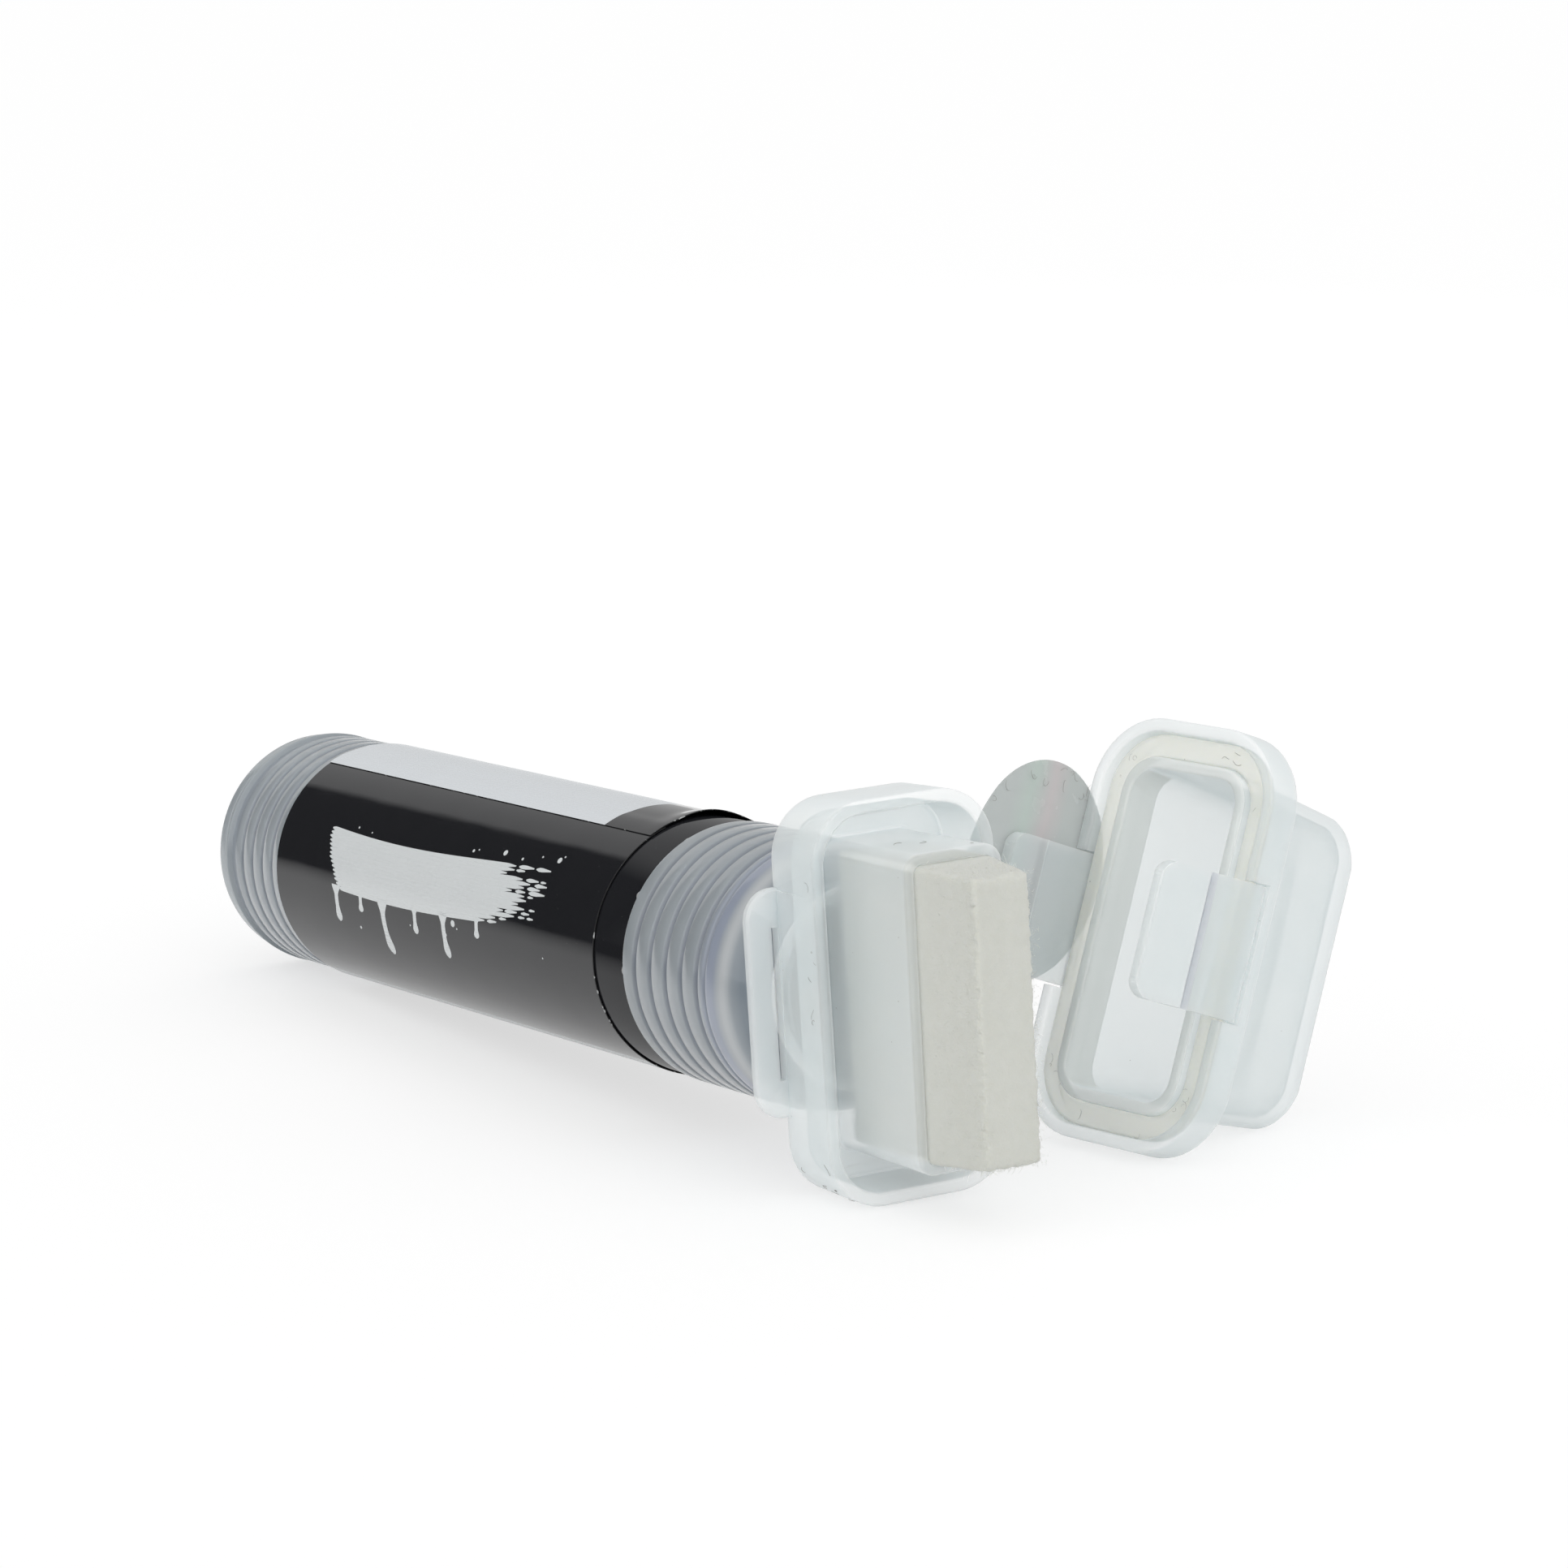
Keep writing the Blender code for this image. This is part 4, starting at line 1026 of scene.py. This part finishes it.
def makeFibres():
    # loose hairs on the front edges, the two narrow sides and the two broad sides of the felt
    n = nib
    chance = random.Random(n["seed"])
    bm = bmesh.new()
    bare = n["front"] - n["holderFront"]
    for fibre in range(n["fibres"]):
        along = n["holderFront"] + n["fibreFrom"] + (bare - n["fibreFrom"]) * chance.random() ** 0.55
        share = (along - n["holderFront"]) / bare
        high = n["halfHigh"] - n["taperHigh"] * share
        wide = n["halfWide"] - n["taperWide"] * share
        onFront = chance.random() < n["frontShare"]
        if onFront:
            x = chance.uniform(-high, high)
            y = chance.choice((-1, 1)) * wide * (1 - 0.5 * chance.random() ** 2)
            start = Vector((x, y, n["front"] - n["frontRooted"]))
            out = Vector((0, 0, 1))
        elif chance.random() < n["flatShare"]:
            side = chance.choice((-1, 1))
            start = Vector((side * (high - n["rooted"]), chance.uniform(-wide, wide), along))
            out = Vector((side, 0, 0))
        else:
            side = chance.choice((-1, 1))
            start = Vector((chance.uniform(-high, high), side * (wide - n["rooted"]), along))
            out = Vector((0, side, 0))
        lean = Vector([chance.uniform(-1, 1) for k in range(3)])
        length = chance.uniform(*n["fibreLong"]) * (n["frontShort"] if onFront else 1.0)
        curl = Vector([chance.uniform(-1, 1) for k in range(3)]) * 0.5
        points = []
        for k in range(4):
            t = k / 3
            points.append(start + (out * 0.35 + lean * 0.75) * length * t + curl * length * t * t
                          + out * 0.1 * math.sin(math.pi * t))
        addThread(bm, points, chance.uniform(*n["fibreThick"]), 3)
    place(bm, "nibFibres", headHome, fibreLook, "nib_body")


makeNib()
makeFibres()

# cap: rim with a channel and a ridge on its mouth, short skirt and closed pouch
cap = {
    "halfWide": 17.0, "halfHigh": 30.52, "corner": 11.05, "wall": 1.9, "edge": 0.6, "skirt": 6.0,
    "channel": 3.4, "under": 4.9, "ridge": 5.5, "ridgeWall": 1.7, "ridgeDrop": 0.5, "pouchWall": 1.5,
    "pouchDepth": 35.2, "bow": 4.7, "narrow": 1.6, "shorten": 1.6, "pouchEdge": 4.5, "insideEdge": 3.6,
    "skirtIn": 1.2, "ridgeDeep": 3.0, "tongueHigh": 9.7, "tongueThick": 1.7, "play": 0.3, "gapPast": 0.1,
    "pouchSteps": 8, "bowSteps": (0.3, 0.6, 0.85), "throatTurn": 0.5, "throatTop": 0.9, "throatLow": 5.5,
}


def makeCap():
    c = cap
    pouchInset = c["ridge"] + c["ridgeWall"]

    def rim(inset, depth):
        corner = max(c["corner"] - inset, 1.0)
        return level(roundRect(c["halfWide"] - inset, c["halfHigh"] - inset, corner), -depth)

    def pouch(wall, share, inset, depth, bow):
        wide = c["halfWide"] - pouchInset + wall - c["narrow"] * share - inset
        high = c["halfHigh"] - pouchInset + wall - c["shorten"] * share - inset
        corner = min(c["corner"] - pouchInset + wall, 0.9 * wide)
        return [(x, y, -depth - bow * (1 - (y / high) ** 2)) for x, y in roundRect(wide, high, corner)]

    def closedEnd(wall, depth, edge, start):
        # straight walls, a rounded edge and a bowed end
        straight = depth - c["bow"] - edge
        steps = c["pouchSteps"]
        loops = [pouch(wall, k / steps, 0, start + (straight - start) * k / steps, 0)
                 for k in range(1, steps)]
        for step in range(steps + 1):
            turn = math.radians(90) * step / steps
            loops.append(pouch(wall, 1, edge * (1 - math.cos(turn)), straight + edge * math.sin(turn),
                               c["bow"] * math.sin(turn)))
        slack = c["halfWide"] - pouchInset + wall - c["narrow"] - edge
        loops += [pouch(wall, 1, edge + slack * share, depth - c["bow"], c["bow"]) for share in c["bowSteps"]]
        return loops

    ridgeFoot = c["ridgeDrop"] + c["ridgeDeep"]
    rimPath = softPath([
        (pouchInset - c["skirtIn"], c["under"], 0), (c["wall"], c["under"], 0.7),
        (c["wall"], c["skirt"], 0.4), (0.0, c["skirt"], c["edge"]), (0.0, 0.0, c["edge"]),
        (c["wall"], 0.0, c["edge"]), (c["wall"], c["channel"], 0.4), (c["ridge"], c["channel"], 0.4),
        (c["ridge"], c["ridgeDrop"], 0.5), (pouchInset, c["ridgeDrop"], 0.5),
        (pouchInset, ridgeFoot, 0)], steps=5)
    outside = closedEnd(c["pouchWall"], c["pouchDepth"], c["pouchEdge"], c["under"])
    inside = closedEnd(0, c["pouchDepth"] - c["pouchWall"], c["insideEdge"], ridgeFoot)
    sections = outside[::-1] + [pouch(c["pouchWall"], 0, 0, c["under"], 0)]
    sections += [rim(inset, depth) for inset, depth in rimPath] + inside
    # a gap in the rim's wall for each tongue
    gapDepth = tongueHinge["depth"] + c["tongueThick"] / 2 + c["play"]
    gap = (c["wall"] + c["gapPast"], c["tongueHigh"] + c["play"], gapDepth)
    helpers = [(boxMesh(*gap, (side * c["halfWide"], 0, 0)), "DIFFERENCE") for side in (1, -1)]
    shell = place(skinMesh(sections), "capShell", capHome, [capLook, throatShadeLook], "cap_body",
                  ["cap_shell"], helpers=helpers)
    # painted shade: the inner walls of the collar round the mouth of the pouch are greyer, standing in for the
    # shade inside it
    halfX, halfY = ((c[side] - c["ridge"] + c["play"] / 3) * mm for side in ("halfWide", "halfHigh"))
    for face in shell.data.polygons:
        x, y, z = face.center
        sideWall = -face.normal.x * math.copysign(1, x) > c["throatTurn"]
        inCollar = abs(x) < halfX and abs(y) < halfY and z > -c["throatLow"] * mm
        face.material_index = int(inCollar and (sideWall or z > -c["throatTop"] * mm))


makeCap()

# silicone ring lying in the cap's channel
capSeal = {"outer": 2.0, "inner": 5.4, "low": -3.1, "thick": 1.4, "lowEdge": 0.3, "highEdge": 0.6}


def capLoop(inset):
    # the cap's outline drawn in by an inset
    return roundRect(cap["halfWide"] - inset, cap["halfHigh"] - inset, cap["corner"] - inset)


def makeCapSeal():
    s = capSeal
    high = s["low"] + s["thick"]
    path = softPath([(s["outer"], s["low"], s["lowEdge"]), (s["outer"], high, s["highEdge"]),
                     (s["inner"], high, s["highEdge"]), (s["inner"], s["low"], s["lowEdge"])], closed=True)
    loops = [level(capLoop(inset), along) for inset, along in path]
    place(skinMesh(loops, ring=True), "capSeal", capHome, siliconeLook, "cap_body",
          ["cap_gasket"])


makeCapSeal()

# springy tongues on both sides of the cap's rim
tongue = {
    "halfHigh": cap["tongueHigh"], "length": 17.0, "thick": cap["tongueThick"], "tilt": 5.7, "corner": 3.0,
    "cornerSteps": 12, "rootSteps": 10, "notch": 7.1, "notchDeep": 0.6, "notchReach": 1.1, "hook": 9.6,
    "hookHigh": 0.5, "hookRun": 2.5, "plateHalf": 3.0,
}


def tongueHome(side):
    turn = Matrix.Rotation(-side * math.radians(tongue["tilt"]), 4, "Y")
    axis = cap["halfWide"] - tongue["thick"] / 2
    return capHome @ Matrix.Translation(Vector((side * axis, 0, -tongueHinge["depth"])) * mm) @ turn


def makeTongue(side, name, body, node):
    t = tongue
    half = t["thick"] / 2
    top = t["length"] + tongueHinge["depth"]
    notch = t["notch"] + tongueHinge["depth"]
    hook = t["hook"] + tongueHinge["depth"]
    turns = [math.radians(180) * (1 + step / t["rootSteps"]) for step in range(t["rootSteps"] + 1)]
    root = [(half * math.cos(turn), half * math.sin(turn), 0) for turn in turns]
    profile = softPath(root + [
        (half, notch - t["notchDeep"], 0.2), (half - t["notchDeep"], notch, 0.15),
        (half, notch + t["notchDeep"], 0.2), (half, top, 0.5), (-half, top, 0.5),
        (-half, hook + t["hookRun"] * t["hookHigh"], 0.4), (-half - t["hookHigh"], hook, 0.3),
        (-half, hook - t["hookHigh"], 0.3)], closed=True)
    bm = bmesh.new()
    face = bm.faces.new([bm.verts.new((side * x, -t["halfHigh"], z)) for x, z in profile])
    grown = bmesh.ops.extrude_face_region(bm, geom=[face])["geom"]
    moved = [item for item in grown if isinstance(item, bmesh.types.BMVert)]
    bmesh.ops.translate(bm, vec=(0, 2 * t["halfHigh"], 0), verts=moved)
    # round the two outer corners by cutting with a rounded plate
    outline = roundRect(top, t["halfHigh"], t["corner"], t["cornerSteps"])
    plate = skinMesh([level(outline, z) for z in (-t["plateHalf"], t["plateHalf"])])
    bmesh.ops.rotate(plate, cent=(0, 0, 0), matrix=Matrix.Rotation(math.radians(90), 3, "Y"),
                     verts=plate.verts)
    piece = place(bm, name, tongueHome(side), [capLook, notchShadeLook], body, [node],
                  helpers=[(plate, "INTERSECT")])
    # painted shade: the notch's faces are darker, standing in for the shadow line in the fold across the tongue
    for face in piece.data.polygons:
        inNotch = (abs(face.center.z / mm - notch) < t["notchReach"] * t["notchDeep"]
                   and abs(face.normal.y) < 0.5)
        face.material_index = int(inNotch and side * face.center.x > 0)


makeTongue(1, "tongueRight", "latch_right_body", "latch_right")
makeTongue(-1, "tongueLeft", "latch_left_body", "latch_left")

# closure film on the left tongue: a round sticker, slightly curled at its rim
sealSticker = {
    "radius": 16.0, "thick": 0.12, "gap": 0.45, "rise": 5.0, "forward": 10.4, "curl": 0.35, "curlTurn": 0.6,
    "crease": 0.10, "creaseScale": 0.25, "creaseSlice": 4.0, "rings": 16, "spokes": 72,
}


def makeSticker():
    s = sealSticker
    bm = bmesh.new()
    base = -(tongue["thick"] / 2 + s["gap"])

    def spot(r, turn, drop):
        y, z = r * math.cos(turn), r * math.sin(turn)
        curl = s["curl"] * (r / s["radius"]) ** 4 * (0.5 + 0.5 * math.sin(2 * turn + s["curlTurn"]))
        crease = s["crease"] * noise.noise((y * s["creaseScale"], z * s["creaseScale"], s["creaseSlice"]))
        return (base - drop - max(0.0, curl + crease), s["rise"] + y, s["forward"] + z)

    skins = []
    for drop in (0.0, s["thick"]):
        loops = [[bm.verts.new(spot(0, 0, drop))]]
        for ring in range(1, s["rings"] + 1):
            r = s["radius"] * ring / s["rings"]
            loops.append([bm.verts.new(spot(r, turn, drop)) for turn in turnSteps(s["spokes"])])
        bridgeAll(bm, loops)
        skins.append(loops)
    bridge(bm, skins[0][-1], skins[1][-1])
    place(bm, "closureFilm", tongueHome(-1), sealLook, "latch_left_body", ["seal_sticker"])


makeSticker()

# lint: short curled hairs that cling to the plastic, the seal and the film
lint = {
    "thick": 0.03, "bends": 9, "bend": 0.7, "wander": 0.35, "arch": 0.05, "seed": 21, "sunk": 0.1,
    "headHairs": 16, "headLong": (0.8, 2.6), "rimShare": 0.35, "rimTurn": (-70, -20),
    "rimAlong": (175.5, 184.0), "wallShare": 0.7, "wallHigh": (-18, 18), "wallAlong": (182.5, 184.2),
    "topWide": (-5, 5), "topAlong": (188, 196), "capHairs": 18, "capLong": (0.7, 2.2), "capEdge": 0.7,
    "filmHairs": 22, "filmLong": (1.0, 3.0), "filmTurn": (-80, 100), "filmReach": (0.82, 1.0),
    "filmRise": 0.06,
}


def addHair(bm, chance, middle, out, length):
    # a curled hair lying on a surface that faces out
    out = Vector(out).normalized()
    across = out.orthogonal().normalized()
    other = out.cross(across)
    heading = chance.uniform(0, 2 * math.pi)
    bend = chance.uniform(-lint["bend"], lint["bend"])
    spot = Vector(middle)
    points = []
    for step in range(lint["bends"]):
        lift = lint["thick"] + lint["arch"] * math.sin(math.pi * step / (lint["bends"] - 1))
        points.append(spot + out * lift)
        heading += bend + chance.uniform(-lint["wander"], lint["wander"])
        spot = spot + (across * math.cos(heading) + other * math.sin(heading)) * length / lint["bends"]
    addThread(bm, points, lint["thick"] * chance.uniform(0.7, 1.1))


def rimSpot(turn, along):
    # a place on the head's outer wall and the way it faces; the turn starts at the foot
    reach = Vector((math.cos(turn), math.sin(turn)))
    flatX, flatY = head["halfHigh"] - head["corner"], head["halfWide"] - head["corner"]
    corner = Vector((math.copysign(flatX, reach.x), math.copysign(flatY, reach.y)))
    spot = corner + reach * (
        head["corner"] - head["draft"] * (head["front"] - along) / (head["front"] - head["rear"]))
    return (spot.x, spot.y, along), (reach.x, reach.y, 0)


def makeLintPieces():
    # on the head: its outer corner, its outer wall and the top of the nib holder
    chance = random.Random(lint["seed"])
    bm = bmesh.new()
    for hair in range(lint["headHairs"]):
        pick = chance.random()
        if pick < lint["rimShare"]:
            middle, out = rimSpot(math.radians(chance.uniform(*lint["rimTurn"])),
                                  chance.uniform(*lint["rimAlong"]))
        elif pick < lint["wallShare"]:
            wall = head["halfWide"] - lint["sunk"]
            middle, out = (chance.uniform(*lint["wallHigh"]), -wall,
                           chance.uniform(*lint["wallAlong"])), (0, -1, 0)
        else:
            top = head["pocketHigh"] + head["holderWall"] - lint["sunk"]
            middle, out = (-top, chance.uniform(*lint["topWide"]),
                           chance.uniform(*lint["topAlong"])), (-1, 0, 0)
        addHair(bm, chance, middle, out, chance.uniform(*lint["headLong"]))
    place(bm, "headLint", headHome, lintLook, "head_body")

    # on the seal in the cap
    bm = bmesh.new()
    for hair in range(lint["capHairs"]):
        loop = capLoop(chance.uniform(capSeal["outer"] + lint["capEdge"], capSeal["inner"] - lint["capEdge"]))
        x, y = loop[chance.randrange(len(loop))]
        addHair(bm, chance, (x, y, capSeal["low"] + capSeal["thick"]), (0, 0, 1),
                chance.uniform(*lint["capLong"]))
    place(bm, "capLint", capHome, lintLook, "cap_body")

    # round the sticker's edge
    bm = bmesh.new()
    face = -(tongue["thick"] / 2 + sealSticker["gap"]) + lint["filmRise"]
    for hair in range(lint["filmHairs"]):
        turn = math.radians(chance.uniform(*lint["filmTurn"]))
        r = sealSticker["radius"] * chance.uniform(*lint["filmReach"])
        middle = (face, sealSticker["rise"] + r * math.cos(turn), sealSticker["forward"] + r * math.sin(turn))
        addHair(bm, chance, middle, (1, 0, 0), chance.uniform(*lint["filmLong"]))
    place(bm, "filmLint", tongueHome(-1), lintLook, "latch_left_body")


makeLintPieces()

# small blisters where the sleeve's film ends against the first ring
blister = {
    # place along the barrel, angle round it, half length and half width of each
    "spots": ((138.3, -57.6, 1.3, 0.8), (138.2, -91.8, 1.1, 0.9), (138.2, -24.0, 1.2, 0.9),
              (138.2, -124.0, 1.1, 0.8)),
    "high": 0.30, "sunk": 0.05, "rings": 5, "spokes": 16,
}


def makeBlisters():
    b = blister
    bm = bmesh.new()
    for along, angle, halfLong, halfRound in b["spots"]:
        rings = []
        for ring in range(b["rings"] + 1):
            share = 1 - ring / b["rings"]
            high = underSleeve["outer"] - b["sunk"] + b["high"] * (1 - share * share)
            rings.append([bm.verts.new(onTube(along + halfLong * share * math.cos(t),
                                              angle + math.degrees(halfRound / high) * share * math.sin(t),
                                              high))
                          for t in turnSteps(b["spokes"] if share else 1)])
        bridgeAll(bm, rings, (0,))
    place(bm, "filmBlisters", markerHome, milkyLook, "barrel_body")


makeBlisters()

# floor, lights and camera
studio = {
    "floor": (0.88, 0.88, 0.88), "shadow": (0.46, 0.46, 0.46), "floorGlow": 0.62, "sky": 0.64, "dark": 0.04,
    "gapFrom": -173.0, "gapTo": -135.0, "gapTop": 40.0, "gapSoft": 3.0, "sheetEdge": -0.10, "sheetSoft": 0.10,
    "boxHeading": -40.0, "boxHeight": 22.0, "boxFrom": 0.25, "boxFull": 0.9, "boxGain": 0.66,
    "floorHalf": 4000, "floorDrop": 0.05, "floorCells": 8,
}
white = (1, 1, 1, 1)


def makeFloor():
    # a lit white sheet; towards the viewer's left it ends, which only reflections show
    bm = bmesh.new()
    cells = studio["floorCells"]
    bmesh.ops.create_grid(bm, x_segments=cells, y_segments=cells, size=studio["floorHalf"])
    mesh = meshFrom(bm, "floor")
    floor = bpy.data.objects.new("floor", mesh)
    scene.collection.objects.link(floor)
    floor.location.z = -studio["floorDrop"] * mm
    look, tree, shader = newLook("paperFloor")
    tree.nodes.remove(shader)
    edge = studio["sheetEdge"]
    beyond = remap(tree, ownAxis(tree, "Y"), edge, edge - studio["sheetSoft"], 0.0, 1.0)
    path = tree.nodes.new("ShaderNodeLightPath")
    hidden = arith(tree, "MULTIPLY", beyond, path.outputs["Is Glossy Ray"])
    seen = arith(tree, "MAXIMUM", path.outputs["Is Camera Ray"], arith(
        tree, "MAXIMUM", path.outputs["Is Glossy Ray"], path.outputs["Is Transmission Ray"]))
    paper = addNode(tree, "ShaderNodeBsdfDiffuse",
                    {"Color": mixColour(tree, seen, studio["floor"], studio["shadow"])})
    strength = arith(tree, "MULTIPLY", seen, studio["floorGlow"])
    glow = addNode(tree, "ShaderNodeEmission", {"Color": white, "Strength": strength})
    both = addNode(tree, "ShaderNodeAddShader", {0: paper.outputs[0], 1: glow.outputs[0]})
    room = addNode(tree, "ShaderNodeEmission", {"Color": white, "Strength": studio["dark"]})
    mix = addNode(tree, "ShaderNodeMixShader", {0: hidden, 1: both.outputs[0], 2: room.outputs[0]})
    joinWires(tree, tree.nodes["Material Output"], {"Surface": mix.outputs[0]})
    mesh.materials.append(look)


def makeSky():
    # a white tent, brightest in front, with a dark gap low on the viewer's left; the camera sees plain white
    world = bpy.data.worlds.new("studioSky")
    world.use_nodes = True
    scene.world = world
    tree = world.node_tree
    back = tree.nodes["Background"]
    way = tree.nodes.new("ShaderNodeTexCoord").outputs["Generated"]
    part = addNode(tree, "ShaderNodeSeparateXYZ", {"Vector": way})
    heading = arith(tree, "ARCTAN2", part.outputs["Y"], part.outputs["X"])
    soft = math.radians(studio["gapSoft"])
    gapFrom, gapTo = math.radians(studio["gapFrom"]), math.radians(studio["gapTo"])
    after = remap(tree, heading, gapFrom - soft / 2, gapFrom + soft / 2, 0.0, 1.0)
    before = remap(tree, heading, gapTo, gapTo + 6 * soft, 1.0, 0.0)
    top = math.sin(math.radians(studio["gapTop"]))
    low = remap(tree, part.outputs["Z"], top, top - 2 * soft, 0.0, 1.0)
    gap = arith(tree, "MULTIPLY", low, arith(tree, "MULTIPLY", after, before))
    tent = remap(tree, gap, 0.0, 1.0, studio["sky"], studio["dark"])
    turn, climb = math.radians(studio["boxHeading"]), math.radians(studio["boxHeight"])
    aim = (math.cos(climb) * math.cos(turn), math.cos(climb) * math.sin(turn), math.sin(climb))
    toward = addNode(tree, "ShaderNodeVectorMath", {0: way, 1: aim},
                     {"operation": "DOT_PRODUCT"}).outputs["Value"]
    front = remap(tree, toward, studio["boxFrom"], studio["boxFull"], 0.0, studio["boxGain"])
    tent = arith(tree, "ADD", tent, front)
    path = tree.nodes.new("ShaderNodeLightPath")
    seen = arith(tree, "MAXIMUM", path.outputs["Is Camera Ray"], path.outputs["Is Transmission Ray"])
    joinWires(tree, back, {"Color": white, "Strength": arith(tree, "MAXIMUM", tent, seen)})


def addLamp(name, at, aim, size, power):
    lamp = bpy.data.lights.new(name, "AREA")
    lamp.shape = "RECTANGLE"
    lamp.size, lamp.size_y = size
    lamp.energy = power
    made = bpy.data.objects.new(name, lamp)
    scene.collection.objects.link(made)
    made.location = at
    made.rotation_euler = (Vector(at) - Vector(aim)).to_track_quat("Z", "Y").to_euler()


lamps = {
    "topBox": {"at": (-0.1, 0.25, 1.0), "aim": (0.0, 0.0, 0.0), "size": (0.8, 0.8), "power": 0.3},
    "backBox": {"at": (-0.6, 0.8, 0.5), "aim": (0.0, 0.0, 0.03), "size": (0.7, 0.7), "power": 0.3},
}

# camera, set from the label's front edge on the marker's axis
view = {
    "offset": (0.6967, -0.3948), "height": 0.1966, "lens": 130.43, "sensor": 36.0, "nearest": 0.01,
    "right": (0.50478, 0.86325, 0.0), "forward": (-0.84896, 0.49642, -0.18122),
}


def makeCamera():
    data = bpy.data.cameras.new("photoCamera")
    data.sensor_fit = "HORIZONTAL"
    data.sensor_width = view["sensor"]
    data.lens = view["lens"]
    data.clip_start = view["nearest"]
    camera = bpy.data.objects.new("photoCamera", data)
    scene.collection.objects.link(camera)
    right = Vector(view["right"]).normalized()
    back = -Vector(view["forward"]).normalized()
    home = homeFrame(right, back.cross(right), back, (0, 0, 0))
    near = markerHome @ Vector((0, 0, label["front"] * mm))
    home.translation = (near.x + view["offset"][0], near.y + view["offset"][1], view["height"])
    camera.matrix_world = home
    scene.camera = camera


makeFloor()
makeSky()
for lampName, lampSizes in lamps.items():
    addLamp(lampName, **lampSizes)
makeCamera()
scene.view_settings.view_transform = "Standard"
print("floor, lights and camera set")
